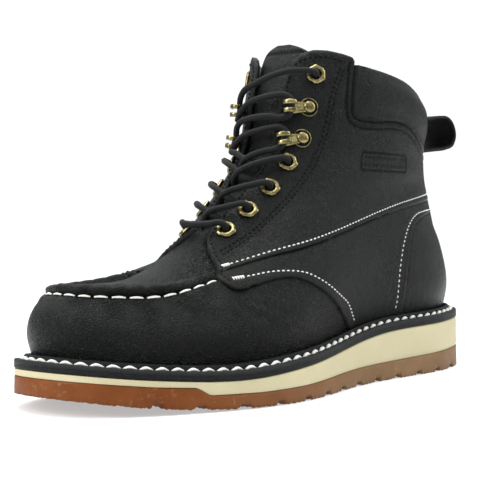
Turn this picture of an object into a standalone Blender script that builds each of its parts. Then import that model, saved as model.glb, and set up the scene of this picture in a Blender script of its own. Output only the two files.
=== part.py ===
"""Wedge sole work boot, left foot.

Frame: millimetres in the tables, metres in the scene, +X to the toe, +Y to the outer side, +Z up.
The origin is on the floor, under the middle of the whole boot; the tables put x 0 at mid-sole.
The upper is one surface P(around, up): around is 0 at the back, 180 at the front, and runs along the
outer side; up is 0 at the feather line, where leather meets welt, and 1 at the collar.
"""
import math

import bmesh
import bpy
import numpy as np
from mathutils import Vector
from mathutils.geometry import delaunay_2d_cdt

MM = 0.001
SOLE_LENGTH = 302.0
SOLE_HALF = SOLE_LENGTH / 2
GAP = 0.3                      # clearance between neighbouring pieces
TURN = 360.0
FRAME_SHIFT = (7.75, -0.22, 0.0)  # from the middle of the sole to the middle of the whole boot

# Centre line of last and sole: x, sideways shift
SWING = [
    (-151, 0.0), (-110, 0.0), (-60, 1.5), (-20, 3.5),
    (25, 3.5), (70, -1.0), (110, -7.0), (151, -12.0),
]

# Stations along each ring, as a share of its length: heel, waist, ball, toe
RING_SHARES = (0.12, 0.40, 0.66, 0.88)
# Rings of the last, from the feather line to the collar
# up, back x, front x, swing share, z at back, heel, waist, ball, toe, front
RING_HEIGHTS = [
    (0.00, -142.5, 142.5, 1.0, 34.3, 33.8, 29.5, 19.8, 20.2, 24.8),
    (0.12, -145.0, 145.0, 1.0, 47.5, 47.0, 43.0, 33.5, 33.0, 37.0),
    (0.24, -144.0, 141.5, 1.0, 61.0, 60.5, 56.0, 46.5, 45.0, 48.5),
    (0.34, -140.5, 132.5, 1.0, 75.0, 74.0, 69.0, 59.0, 55.5, 56.5),
    (0.41, -137.5, 122.0, 1.0, 83.0, 82.0, 77.5, 66.5, 57.5, 58.0),
    (0.49, -133.5, 100.0, 0.9, 94.0, 93.0, 88.0, 77.0, 60.5, 59.5),
    (0.58, -129.0, 72.0, 0.8, 107.0, 106.0, 102.0, 95.0, 74.5, 69.0),
    (0.68, -126.0, 37.5, 0.7, 121.0, 120.5, 118.0, 113.5, 101.5, 96.0),
    (0.78, -124.5, 15.0, 0.5, 133.0, 132.5, 131.5, 129.5, 125.0, 122.0),
    (0.89, -123.0, 6.5, 0.4, 144.5, 145.5, 148.5, 150.0, 150.0, 150.0),
    (1.00, -119.0, -0.5, 0.3, 152.0, 155.5, 164.0, 168.5, 170.0, 170.0),
    (1.08, -115.5, -5.0, 0.2, 158.5, 163.0, 174.0, 182.0, 184.5, 184.5),
]
# up, half width at heel, waist, ball, toe, end radius at back, end radius at front
RING_WIDTHS = [
    (0.00, 33.0, 33.0, 47.0, 38.5, 34, 44),
    (0.12, 35.5, 36.0, 49.5, 40.5, 35, 44),
    (0.24, 34.5, 37.0, 48.0, 38.0, 32, 42),
    (0.34, 32.0, 37.0, 43.5, 33.5, 29, 39),
    (0.41, 29.5, 36.0, 39.5, 29.0, 26, 33),
    (0.49, 27.0, 34.5, 36.0, 24.0, 23, 26),
    (0.58, 25.0, 34.0, 33.0, 20.5, 21, 22),
    (0.68, 24.5, 34.0, 32.0, 20.5, 20, 20),
    (0.78, 24.5, 35.0, 33.0, 22.5, 20, 21),
    (0.89, 25.0, 36.0, 34.5, 24.5, 20, 23),
    (1.00, 23.5, 35.0, 35.0, 25.5, 19, 25),
    (1.08, 21.5, 34.0, 35.0, 26.5, 18, 26),
]

# Sole outline
SOLE_SHARES = (0.14, 0.42, 0.68, 0.88)
SOLE_HALF_WIDTHS = (41.0, 41.0, 56.0, 45.0)
SOLE_END_RADII = (42.0, 48.0)
# x, floor clearance of the tread: flat to the ball, then toe spring
TOE_SPRING = [(-151, 0.0), (60, 0.0), (80, 0.4), (100, 1.4), (125, 4.0), (151, 8.1)]
# x, top of the gum outsole: the toe bumper steps up in front of the ball
GUM_TOP = [
    (-151, 12.8), (-100, 11.2), (-50, 9.9), (0, 9.0), (40, 7.6), (70, 7.2), (96, 7.8), (102, 11.6),
    (120, 13.0), (151, 16.6),
]
# x, top of the cream midsole, which is also the underside of the welt
MIDSOLE_TOP = [
    (-151, 29.3), (-100, 27.9), (-50, 26.1), (0, 20.4), (40, 16.5), (80, 13.7), (120, 16.1), (151, 19.8),
]

# Welt section: share of the way from sole edge to upper, height over the midsole
WELT_SECTION = [
    (0.00, 0.3), (0.00, 4.0), (0.08, 4.6), (0.40, 4.6), (0.50, 4.0), (0.60, 4.9),
    (0.78, 6.9), (0.92, 7.2), (1.00, 6.4), (1.00, 0.3),
]

# Panel lines on the upper, as around (degrees) and up
QUARTER_EDGE = [
    (173.5, 0.640), (167, 0.612), (158, 0.588), (147, 0.551), (141, 0.490), (133.5, 0.415), (126, 0.340),
    (123, 0.322), (119, 0.326), (114, 0.336), (108, 0.332), (102, 0.300), (95, 0.232), (89, 0.132),
    (84, 0.036), (81, -0.03),
]
SHAFT_EDGE = [(141, 0.490), (125, 0.472), (110, 0.459), (97, 0.462), (84, 0.474), (73, 0.488), (61, 0.504),
              (41, 0.519), (20, 0.525), (0, 0.527)]
COUNTER_EDGE = [(61, -0.03), (61, 0.06), (61, 0.15), (59.5, 0.27), (56.5, 0.36), (52.5, 0.425), (45, 0.458),
                (30, 0.470), (15, 0.474), (0, 0.475)]
COLLAR_SEAM = [(120, 1.0), (120, 0.95), (118.5, 0.89), (116, 0.845), (111, 0.836), (104, 0.832), (87, 0.837),
               (76, 0.832), (67, 0.812), (53, 0.765), (40, 0.725), (20, 0.690), (0, 0.680)]
MOC_LINE = [(180, 0.330), (174, 0.331), (168, 0.332), (162, 0.335), (157, 0.338), (152, 0.342), (147, 0.347),
            (143, 0.355), (139.5, 0.368), (137, 0.385), (135.5, 0.400)]
FACING_EDGE = [(173.5, 0.640), (171.5, 0.680), (167, 0.735), (165.5, 0.790), (165.5, 0.850), (165, 0.910),
               (164, 0.965), (162, 1.000)]
TOP_EDGE = [(162, 1.000), (157, 1.022), (149, 1.034), (140, 1.034), (130, 1.028), (122, 1.020), (120, 1.000),
            (107, 0.998), (93, 0.998), (78, 0.999), (64, 0.999), (50, 0.999), (35, 1.0), (18, 1.0), (0, 1.0)]

FEATHER_UP = -0.03             # lower rim of the upper, tucked behind the welt
LINING_DEPTH = 1.4             # leather behind the last's surface
PANEL_LIFT = (0.0, 0.8, 1.5)   # vamp and heel piece, lower quarter, shaft
# Moc ridge section: offset across the seam, height
RIDGE_SECTION = [(-3.0, 0.0), (-1.3, 3.0), (1.1, 3.1), (3.2, 0.0)]
RIDGE_INNER_SHARE = 0.55

TONGUE_DEPTH = 2.6
TONGUE_THICKNESS = 3.0
BACKSTAY_LIFT = 2.3
BACKSTAY_THICKNESS = 1.3
BACKSTAY_HALF_WIDTH = 12.0

# Lacing: around and up of each eyelet, lowest first, then the two hooks and the top eyelet
EYELETS = [(160.5, 0.627), (155.6, 0.658), (150.5, 0.696), (148.5, 0.748), (144.5, 0.960)]
HOOKS = [(145.5, 0.800), (145.0, 0.870)]
EYELET_CORNER_RADIUS = 5.5
EYELET_HOLE_RADIUS = 2.8
EYELET_HEIGHT = 1.4
LACE_RADIUS = 2.0
LACE_SIDES = 6

# Tread grooves, from the heel
GROOVES = 13
GROOVE_FIRST = -118.0
GROOVE_PITCH = 19.6
GROOVE_WIDTH = 5.0
GROOVE_DEPTH = 2.2
GROOVE_SLOPE = 0.8
BUMPER_STEP = (96.0, 102.0)    # the gum climbs to the toe bumper between these x

INSOLE_CLEARANCE = 1.2
INSOLE_TOP = 7.5
WELT_CLEARANCE = 0.9
WELT_CREST = 5.0               # section rows above this height follow the upper's swell
WELT_CREST_UP = 0.035

# Spacing of the upper's facets
SEAM_SPACING = 8.0
GRID_UP = 0.07
GRID_AROUND = 7.5
GRID_FIRST_UP = 0.045
PATTERN_STRETCH = 150.0        # flat pattern units per unit of up, so that its triangles are well shaped
FEATHER_HALF = [
    0, 8, 16, 24, 32, 40, 48, 61, 70, 81, 90, 99, 108, 117, 126, 135, 143, 151, 159, 166, 173, 180,
]
BACK_SEAM = [-0.03, 0.05, 0.13, 0.21, 0.29, 0.37, 0.43, 0.475, 0.527, 0.60, 0.68, 0.76, 0.84, 0.92, 1.0]

# Tongue rows: up, half spread in degrees
TONGUE_ROWS = [
    (0.585, 24), (0.62, 27), (0.66, 29), (0.71, 30), (0.76, 31), (0.82, 33), (0.88, 35),
    (0.94, 37), (1.0, 36), (1.035, 30), (1.052, 18),
]
TONGUE_LEAN = [(0.9, 0.0), (1.06, 3.0)]
BACKSTAY_SPAN = (0.06, 0.745)

# Each crossing: upper end and lower end as around, up, then the lifts on the way
HARDWARE_CLEARANCE = 0.5
TO_GAP = (7.0, 6.0, 4.8, 3.2, 1.8)
OVER_FACINGS = (4.6, 4.6, 5.2, 4.6, 4.6)
CROSSINGS = [
    (EYELETS[1], (186.0, 0.648), (7.0, 6.2, 5.4, 4.9, 4.5)),
    (EYELETS[2], (182.0, 0.682), TO_GAP),
    (EYELETS[3], (183.0, 0.724), TO_GAP),
    ((158.5, 0.773), (184.0, 0.756), (4.8, 4.8, 4.4, 3.0, 1.8)),
]
# Runs that turn round an inner hook: where the hooked turn lies, then the ends of its two strands
TURNS = [
    ((207.0, 0.826), (162.0, 0.818), (162.0, 0.852), OVER_FACINGS, OVER_FACINGS),
    ((207.0, 0.900), (162.0, 0.888), EYELETS[4], OVER_FACINGS, (7.0, 6.0, 5.2, 4.8, 4.6)),
]
BAR_LIFTS = (7.0, 6.2, 5.4, 6.2, 7.0)

# Pull loop: x, z of the strap's middle, from the top stitch round to the lower one
LOOP_WIDTH = 24.0
LOOP_THICKNESS = 2.0
LOOP_PATH = [
    (-124.6, 145.4), (-132, 147.0), (-141, 148.4), (-150, 149.5), (-158, 149.2), (-163.5, 145.0),
    (-165.5, 138.5), (-162.5, 133.0), (-155, 130.6), (-143, 129.2), (-129.3, 127.9),
]
# Hook section: reach to the throat, height; under the plate and round the lip, then back inside
HOOK_PROFILE = [
    (-4.5, 0.0), (9.0, 0.0), (12.8, 0.4), (14.7, 2.6), (14.3, 5.5), (11.6, 6.8), (8.8, 6.3),
    (8.9, 5.3), (11.4, 5.7), (13.0, 4.9), (13.4, 3.0), (12.2, 1.4), (9.0, 1.0), (-4.5, 0.9),
]
HOOK_HALF_WIDTH = 3.3
HOOK_CLEARANCE = 0.2
HOOK_SEAT = (9.0, 4.5, 3.6)    # forward, back and half width of the plate on the leather


def curve(table, at):
    """Smooth curve through the rows of a table: first column against the others."""
    rows = np.asarray(table, float)
    key = rows[:, 0]
    values = rows[:, 1:]
    step = np.diff(key)
    slope = np.diff(values, axis=0) / step[:, None]
    tangent = np.empty_like(values)
    before, after = step[:-1, None], step[1:, None]
    tangent[1:-1] = (slope[:-1] * after + slope[1:] * before) / (before + after)
    tangent[0] = slope[0]
    tangent[-1] = slope[-1]
    at = np.asarray(at, float)
    i = np.clip(np.searchsorted(key, at) - 1, 0, len(key) - 2)
    width = step[i][..., None]
    t = (at[..., None] - key[i][..., None]) / width
    rise = 3 * t ** 2 - 2 * t ** 3
    return ((1 - rise) * values[i] + (t ** 3 - 2 * t ** 2 + t) * width * tangent[i]
            + rise * values[i + 1] + (t ** 3 - t ** 2) * width * tangent[i + 1])


def line(table, at):
    """Straight runs between the rows of a two-column table."""
    rows = np.asarray(table, float)
    return np.interp(at, rows[:, 0], rows[:, 1])


def swing(x):
    return curve(SWING, np.clip(x, -SOLE_HALF, SOLE_HALF))[..., 0]


def along_ring(angle, stations, values):
    """Value at an angle 0..pi from its values at the stations, flat at both ends."""
    step = np.diff(stations)
    slope = np.diff(values, axis=-1) / step
    tangent = np.zeros_like(values)
    tangent[..., 1:-1] = (slope[..., :-1] * step[1:] + slope[..., 1:] * step[:-1]) / (step[1:] + step[:-1])
    i = np.clip(np.searchsorted(stations, angle) - 1, 0, len(stations) - 2)
    width = step[i]
    t = (angle - stations[i]) / width

    def pick(array, index):
        return np.take_along_axis(array, index[..., None], -1)[..., 0]

    rise = 3 * t ** 2 - 2 * t ** 3
    return ((1 - rise) * pick(values, i) + (t ** 3 - 2 * t ** 2 + t) * width * pick(tangent, i)
            + rise * pick(values, i + 1) + (t ** 3 - t ** 2) * width * pick(tangent, i + 1))


def ring_plan(around, back, front, shares, widths, radii):
    """x, y and the folded angle of a closed egg-shaped outline."""
    angle = np.radians(np.mod(around, TURN))
    side = np.where(angle <= math.pi, 1.0, -1.0)
    angle = np.where(angle <= math.pi, angle, 2 * math.pi - angle)
    stations = np.concatenate([[0.0], np.arccos(1 - 2 * np.asarray(shares)), [math.pi]])
    half = (front - back) / 2
    spread = [np.sqrt(radii[0] * half)]
    spread += [widths[k] / math.sin(stations[k + 1]) for k in range(len(shares))]
    spread += [np.sqrt(radii[1] * half)]
    x = back + (front - back) * (1 - np.cos(angle)) / 2
    spread = np.stack(np.broadcast_arrays(angle, *spread)[1:], -1)
    y = side * np.sin(angle) * along_ring(angle, stations, spread)
    return x, y, angle, stations


def last(around, up):
    """Point of the last's surface, in millimetres."""
    around, up = np.broadcast_arrays(np.asarray(around, float), np.asarray(up, float))
    heights = curve(RING_HEIGHTS, up)
    widths = curve(RING_WIDTHS, up)
    x, y, angle, stations = ring_plan(around, heights[..., 0], heights[..., 1], RING_SHARES,
                                      [widths[..., k] for k in range(4)], (widths[..., 4], widths[..., 5]))
    y = y + swing(x) * heights[..., 2]
    z = along_ring(angle, stations, heights[..., 3:9])
    return np.stack([x, y, z], -1)


def last_frame(around, up):
    """Unit normal, and the change of the point per degree and per unit of up."""
    around, up = np.broadcast_arrays(np.asarray(around, float), np.asarray(up, float))
    d_around = (last(around + 0.5, up) - last(around - 0.5, up))
    d_up = (last(around, up + 0.005) - last(around, up - 0.005)) / 0.01
    normal = np.cross(d_up, d_around)
    normal /= np.linalg.norm(normal, axis=-1, keepdims=True)
    return normal, d_around, d_up


def skin(around, up, lift):
    """Point at a height over the last's surface."""
    normal = last_frame(around, up)[0]
    return last(around, up) + normal * np.asarray(lift, float)[..., None]


def shifted(points, across):
    """The line of (around, up) points moved sideways on the surface by a distance in mm, plus to the left."""
    rows = np.asarray(points, float)
    places = last(rows[:, 0], rows[:, 1])
    normal, d_around, d_up = last_frame(rows[:, 0], rows[:, 1])
    forward = np.gradient(places, axis=0)
    forward /= np.linalg.norm(forward, axis=1, keepdims=True)
    left = np.cross(normal, forward) * across
    out = []
    for row, move, a, b in zip(rows, left, d_around, d_up):
        part = np.linalg.lstsq(np.stack([a, b], 1), move, rcond=None)[0]
        out.append((row[0] + part[0], row[1] + part[1]))
    return out


def sole_plan(around, inset=0.0):
    """Outline of the sole, drawn in by an inset."""
    widths = [w - inset for w in SOLE_HALF_WIDTHS]
    half = SOLE_HALF - inset
    x, y = ring_plan(around, -half, half, SOLE_SHARES, widths, SOLE_END_RADII)[:2]
    return x, y + swing(x)


def around_of_x(x, inset=0.0):
    half = SOLE_HALF - inset
    return np.degrees(np.arccos(np.clip(-x / half, -1, 1)))


def mirrored(points):
    return [(TURN - a, u) for a, u in points]


def resampled(points, spacing):
    """Points along a line of (around, up), about a spacing in mm apart on the surface; keeps every row."""
    rows = np.asarray(points, float)
    out = [tuple(rows[0])]
    for start, end in zip(rows[:-1], rows[1:]):
        length = np.linalg.norm(last(*end) - last(*start))
        count = max(1, int(round(length / spacing)))
        for k in range(1, count + 1):
            out.append(tuple(start + (end - start) * k / count))
    return out


def inside(polygon, x, y):
    """Even-odd test of a point against a closed polygon."""
    hit = False
    for (x0, y0), (x1, y1) in zip(polygon, polygon[1:] + polygon[:1]):
        if (y0 > y) != (y1 > y) and x < (x1 - x0) * (y - y0) / (y1 - y0) + x0:
            hit = not hit
    return hit


def material(name, colour, roughness, metallic=0.0):
    made = bpy.data.materials.new(name)
    made.use_nodes = True
    shader = made.node_tree.nodes["Principled BSDF"]
    shader.inputs["Base Color"].default_value = (*colour, 1.0)
    shader.inputs["Roughness"].default_value = roughness
    shader.inputs["Metallic"].default_value = metallic
    made.diffuse_color = (*colour, 1.0)
    return made


def place(name, vertices, faces, finish, weld=0.0):
    """Named object from millimetre vertices and faces, with outward normals."""
    mesh = bpy.data.meshes.new(name)
    mesh.from_pydata([(Vector(v) + Vector(FRAME_SHIFT)) * MM for v in vertices], [], faces)
    shape = bmesh.new()
    shape.from_mesh(mesh)
    if weld:
        bmesh.ops.remove_doubles(shape, verts=shape.verts, dist=weld * MM)
    bmesh.ops.triangulate(shape, faces=[f for f in shape.faces if len(f.verts) > 4])
    bmesh.ops.recalc_face_normals(shape, faces=shape.faces)
    if shape.calc_volume(signed=True) < 0:
        bmesh.ops.reverse_faces(shape, faces=shape.faces)
    shape.to_mesh(mesh)
    shape.free()
    mesh.materials.append(finish)
    made = bpy.data.objects.new(name, mesh)
    boot.objects.link(made)
    return made


def slab(name, around, outline, rows, finish):
    """Closed slab from half-turn stations. Rows run from bottom to top as (inset, height function)."""
    vertices = []
    faces = []
    count = len(around)
    levels = len(rows)
    for side in (1, -1):
        for inset, height in rows:
            x, y = outline(np.asarray(around) if side > 0 else TURN - np.asarray(around), inset)
            z = height(x)
            vertices += [(x[k], y[k], z[k]) for k in range(count)]

    def at(side, level, k):
        return (side * levels + level) * count + k

    for k in range(count - 1):
        for level in range(levels - 1):
            faces.append((at(0, level, k), at(0, level + 1, k), at(0, level + 1, k + 1), at(0, level, k + 1)))
            faces.append((at(1, level, k), at(1, level, k + 1), at(1, level + 1, k + 1), at(1, level + 1, k)))
        faces.append((at(0, 0, k), at(0, 0, k + 1), at(1, 0, k + 1), at(1, 0, k)))
        top = levels - 1
        faces.append((at(0, top, k), at(1, top, k), at(1, top, k + 1), at(0, top, k + 1)))
    for k in (0, count - 1):
        for level in range(levels - 1):
            faces.append((at(0, level, k), at(1, level, k), at(1, level + 1, k), at(0, level + 1, k)))
    return place(name, vertices, faces, finish)


def patch(name, around, up, outer, inner, finish):
    """Closed sheet over a grid of the last's surface, between two lifts."""
    rows, columns = around.shape
    faces = []
    top = skin(around, up, np.broadcast_to(outer, around.shape)).reshape(-1, 3)
    under = skin(around, up, np.broadcast_to(inner, around.shape)).reshape(-1, 3)
    size = rows * columns
    for r in range(rows - 1):
        for c in range(columns - 1):
            a = r * columns + c
            faces.append((a, a + 1, a + columns + 1, a + columns))
            faces.append((size + a, size + a + columns, size + a + columns + 1, size + a + 1))
    border = [(0, c) for c in range(columns)] + [(r, columns - 1) for r in range(1, rows)]
    border += [(rows - 1, c) for c in range(columns - 2, -1, -1)] + [(r, 0) for r in range(rows - 2, 0, -1)]
    border = [r * columns + c for r, c in border]
    for a, b in zip(border, border[1:] + border[:1]):
        faces.append((a, b, size + b, size + a))
    return place(name, np.concatenate([top, under]).tolist(), faces, finish)


def tube(name, path, radius, sides, finish):
    """Round cord along a path of points, with flat ends."""
    path = np.asarray(path, float)
    ahead = np.gradient(path, axis=0)
    ahead /= np.linalg.norm(ahead, axis=1, keepdims=True)
    reference = np.array([0.0, 0.0, 1.0])
    vertices = []
    faces = []
    for point, direction in zip(path, ahead):
        side = np.cross(direction, reference)
        side /= np.linalg.norm(side)
        over = np.cross(side, direction)
        for k in range(sides):
            turn = 2 * math.pi * k / sides
            vertices.append(point + radius * (math.cos(turn) * side + math.sin(turn) * over))
    for r in range(len(path) - 1):
        for k in range(sides):
            n = (k + 1) % sides
            faces.append((r * sides + k, r * sides + n, (r + 1) * sides + n, (r + 1) * sides + k))
    faces.append(tuple(range(sides)))
    faces.append(tuple((len(path) - 1) * sides + k for k in range(sides)))
    return place(name, vertices, faces, finish)


def outsole():
    """Gum wedge with cross grooves in the tread and a bumper at the toe."""
    stations = [(float(a), 0.0) for a in (4, 10, 16, 22)]
    stations += [(TURN / 2 - a, 0.0) for a, _ in stations]
    stations += [(float(around_of_x(x)), 0.0) for x in BUMPER_STEP]
    for k in range(GROOVES):
        centre = GROOVE_FIRST + k * GROOVE_PITCH
        mouth = GROOVE_WIDTH / 2 + GROOVE_SLOPE
        for offset, depth in ((-mouth, 0.0), (-GROOVE_WIDTH / 2, GROOVE_DEPTH),
                              (GROOVE_WIDTH / 2, GROOVE_DEPTH), (mouth, 0.0)):
            stations.append((float(around_of_x(centre + offset)), depth))
    stations.sort()
    around = [s[0] for s in stations]
    depth = np.array([s[1] for s in stations])

    def floor(x):
        return np.maximum(curve_1(TOE_SPRING, x), 0.0) + depth

    rows = [(1.0, floor), (0.0, lambda x: floor(x) + 1.2), (0.0, lambda x: line(GUM_TOP, x))]
    return slab("outsole", around, sole_plan, rows, GUM)


def curve_1(table, x):
    return curve(table, x)[..., 0]


def midsole():
    """Cream wedge between gum and welt, a thin strip over the toe bumper."""
    around = [4, 10, 16, 22] + list(range(30, 151, 8)) + [158, 164, 170, 176]
    around += [float(around_of_x(x)) for x in BUMPER_STEP]
    around.sort()
    rows = [(0.0, lambda x: line(GUM_TOP, x) + GAP), (0.4, lambda x: curve_1(MIDSOLE_TOP, x))]
    return slab("midsole", [float(a) for a in around], sole_plan, rows, CREAM)


def insole():
    """Footbed inside the upper."""
    around = [6.0, 14.0, 22.0] + [float(a) for a in range(30, 151, 10)] + [158.0, 166.0, 174.0]

    def outline(angle, inset):
        normal = last_frame(angle, FEATHER_UP)[0]
        flat = normal * (1, 1, 0)
        flat /= np.linalg.norm(flat, axis=1, keepdims=True)
        point = last(angle, FEATHER_UP) - flat * (LINING_DEPTH + INSOLE_CLEARANCE + inset)
        return point[:, 0], point[:, 1]

    rows = [
        (0.0, lambda x: curve_1(MIDSOLE_TOP, x) + GAP),
        (0.0, lambda x: curve_1(MIDSOLE_TOP, x) + INSOLE_TOP - 1.0),
        (1.0, lambda x: curve_1(MIDSOLE_TOP, x) + INSOLE_TOP),
    ]
    return slab("insole", around, outline, rows, LINING)


def welt():
    """Stitched welt round the whole boot, with its storm bead against the upper."""
    around = np.concatenate([np.arange(0, 30, 6), np.arange(30, 150, 8), np.arange(150, 210, 6),
                             np.arange(210, 330, 8), np.arange(330, 360, 6)]).astype(float)
    sole_x, sole_y = sole_plan(around)
    rim = skin(around, np.full_like(around, 0.0), np.full_like(around, WELT_CLEARANCE))
    crown = skin(around, np.full_like(around, WELT_CREST_UP), np.full_like(around, WELT_CLEARANCE))
    vertices = []
    for share, height in WELT_SECTION:
        inner = crown if height > WELT_CREST else rim
        x = sole_x + (inner[:, 0] - sole_x) * share
        y = sole_y + (inner[:, 1] - sole_y) * share
        z = curve_1(MIDSOLE_TOP, np.clip(x, -SOLE_HALF, SOLE_HALF)) + height
        vertices += list(zip(x, y, z))
    count = len(around)
    loops = len(WELT_SECTION)
    faces = []
    for r in range(loops):
        for k in range(count):
            n = (k + 1) % count
            s = (r + 1) % loops
            faces.append((r * count + k, r * count + n, s * count + n, s * count + k))
    return place("welt", vertices, faces, WELT_BLACK)


def upper_lines():
    """Panel lines of the flat pattern and the height each one carries."""
    half_lines = [resampled(QUARTER_EDGE, SEAM_SPACING), resampled(SHAFT_EDGE, SEAM_SPACING * 1.3),
                  resampled(COUNTER_EDGE, SEAM_SPACING * 1.3), resampled(COLLAR_SEAM, SEAM_SPACING * 1.5)]
    lines = []
    for points in half_lines:
        lines.append((points, 0.0))
        lines.append((mirrored(points), 0.0))
    moc = MOC_LINE[::-1] + mirrored(MOC_LINE)[1:]
    for across, height in RIDGE_SECTION:
        lines.append((shifted(moc, across), height))
    rim = FEATHER_HALF + [TURN - a for a in FEATHER_HALF[-2::-1]]
    floor_line = [(float(a), FEATHER_UP) for a in rim]
    facing = resampled(FACING_EDGE, SEAM_SPACING * 1.4)
    throat = [(TURN - 173.5, 0.640), (180.0, 0.632), (173.5, 0.640)]
    outline = floor_line + [(TURN, u) for u in BACK_SEAM[1:]]
    outline += mirrored(TOP_EDGE)[::-1][1:] + mirrored(facing)[::-1][1:] + throat[1:]
    outline += facing[1:] + TOP_EDGE[1:] + [(0.0, u) for u in BACK_SEAM[-2:0:-1]]
    return lines, outline


def panel_of(around, up, zones):
    """Level of the panel over a point: 0 vamp and heel piece, 1 lower quarter, 2 shaft."""
    folded = around if around <= TURN / 2 else TURN - around
    if any(inside(zone, folded, up) for zone in zones["low"]):
        return 0
    return 2 if inside(zones["shaft"], folded, up) else 1


def upper():
    """Hollow leather upper: one skin, its panels in steps, open at collar, throat and underneath."""
    lines, outline = upper_lines()
    quarter = resampled(QUARTER_EDGE, SEAM_SPACING)
    shaft = resampled(SHAFT_EDGE, SEAM_SPACING * 1.3)
    counter = resampled(COUNTER_EDGE, SEAM_SPACING * 1.3)
    front_part = [p for p in quarter if p[1] >= 0.490][::-1]
    zones = {
        "low": [quarter + [(181.0, -0.03), (181.0, 0.640)], counter + [(0.0, -0.03)]],
        "shaft": shaft + [(0.0, 1.1), (181.0, 1.1), (181.0, 0.640)] + front_part[::-1][:-1],
    }
    points = []
    heights = []
    edges = []

    def add(new, height, closed=False):
        start = len(points)
        points.extend(new)
        heights.extend([height] * len(new))
        edges.extend((start + k, start + k + 1) for k in range(len(new) - 1))
        if closed:
            edges.append((start + len(new) - 1, start))

    add(outline, 0.0, closed=True)
    for row, height in lines:
        add(row, height)
    fixed = np.array(points) * (1.0, PATTERN_STRETCH)
    for row, up in enumerate(np.arange(GRID_FIRST_UP, 1.0, GRID_UP)):
        for around in np.arange(GRID_AROUND / 2 * (row % 2) + GRID_AROUND / 2, TURN, GRID_AROUND):
            spot = np.array((around, up * PATTERN_STRETCH))
            nearest = np.min(np.linalg.norm(fixed - spot, axis=1))
            if nearest > GRID_AROUND * 0.55 and inside(outline, around, up):
                points.append((float(around), float(up)))
                heights.append(0.0)
    flat = [Vector((a, u * PATTERN_STRETCH)) for a, u in points]
    found, _, triangles, origin, _, _ = delaunay_2d_cdt(flat, edges, [], 0, 1e-5)
    places = [(p.x, p.y / PATTERN_STRETCH) for p in found]
    rise = [max((heights[k] for k in sources), default=0.0) for sources in origin]

    kept = []
    for triangle in triangles:
        a = sum(places[k][0] for k in triangle) / 3
        u = sum(places[k][1] for k in triangle) / 3
        if inside(outline, a, u):
            kept.append((triangle, panel_of(a, u, zones)))

    around = np.array([p[0] for p in places])
    up = np.array([p[1] for p in places])
    rise = np.array(rise)
    lining = skin(around, up, -LINING_DEPTH + RIDGE_INNER_SHARE * rise)
    outer = [skin(around, up, rise + lift) for lift in PANEL_LIFT]
    vertices = [tuple(p) for p in lining]
    copies = {}

    def copy(k, level):
        if (k, level) not in copies:
            copies[(k, level)] = len(vertices)
            vertices.append(tuple(outer[level][k]))
        return copies[(k, level)]

    faces = []
    sides = {}
    for triangle, level in kept:
        faces.append(tuple(copy(k, level) for k in triangle))
        faces.append(tuple(reversed(triangle)))
        for k in range(3):
            sides.setdefault(frozenset((triangle[k], triangle[(k + 1) % 3])), []).append(level)

    def chain(k, low, high):
        return [copies[(k, level)] for level in range(low, high + 1) if (k, level) in copies]

    rim = {}
    for pair, levels in sides.items():
        a, b = tuple(pair)
        if len(levels) == 2 and levels[0] != levels[1]:
            low, high = sorted(levels)
            faces.append(tuple(chain(a, low, high) + chain(b, low, high)[::-1]))
        if len(levels) == 1:
            back = all(min(places[k][0], TURN - places[k][0]) < 1e-4 for k in (a, b))
            if not back:
                faces.append((a, b, copies[(b, levels[0])], copies[(a, levels[0])]))
                for k in (a, b):
                    rim.setdefault(k, set()).add(levels[0])
    for k, levels in rim.items():
        if len(levels) > 1:
            faces.append(tuple([k] + chain(k, min(levels), max(levels))))
    return place("upper", vertices, faces, LEATHER, weld=0.01)


def tongue():
    """Padded tongue under the facings, standing a little over the collar."""
    up, spread = np.array(TONGUE_ROWS, float).T
    share = np.linspace(-1, 1, 9)
    around = 180 + spread[:, None] * share[None, :]
    rows = np.broadcast_to(up[:, None], around.shape)
    lean = line(TONGUE_LEAN, up)[:, None]
    outer = -TONGUE_DEPTH - lean
    return patch("tongue", around, rows, outer, outer - TONGUE_THICKNESS, LEATHER)


def backstay():
    """Strip of leather down the back seam."""
    up = np.linspace(*BACKSTAY_SPAN, 16)
    share = np.linspace(-1, 1, 7)
    half = []
    for height in up:
        angles = np.linspace(0, 60, 61)
        half.append(np.interp(BACKSTAY_HALF_WIDTH, last(angles, np.full(61, height))[:, 1], angles))
    around = np.array(half)[:, None] * share[None, :]
    rows = np.broadcast_to(up[:, None], around.shape)
    return patch("backstay", around, rows, BACKSTAY_LIFT + BACKSTAY_THICKNESS, BACKSTAY_LIFT, LEATHER)


def pull_loop():
    """Strap loop standing out behind the collar."""
    centre = np.array(LOOP_PATH, float)
    ahead = np.gradient(centre, axis=0)
    ahead /= np.linalg.norm(ahead, axis=1, keepdims=True)
    side = np.stack([-ahead[:, 1], ahead[:, 0]], 1) * LOOP_THICKNESS / 2
    section = np.concatenate([centre + side, (centre - side)[::-1]])
    count = len(section)
    vertices = [(x, y, z) for y in (-LOOP_WIDTH / 2, LOOP_WIDTH / 2) for x, z in section]
    faces = [(k, (k + 1) % count, count + (k + 1) % count, count + k) for k in range(count)]
    rows = len(centre)
    for base in (0, count):
        for k in range(rows - 1):
            faces.append((base + k, base + k + 1, base + count - 2 - k, base + count - 1 - k))
    return place("pull_loop", vertices, faces, WEBBING)


def local_frame(around, up):
    """Origin on the last, then forward (to the throat), upward and outward axes."""
    normal, d_around, d_up = last_frame(around, up)
    forward = d_around / np.linalg.norm(d_around)
    if around > TURN / 2:
        forward = -forward
    climb = np.cross(normal, forward) if around <= TURN / 2 else np.cross(forward, normal)
    return last(around, up), forward, climb, normal


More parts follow.
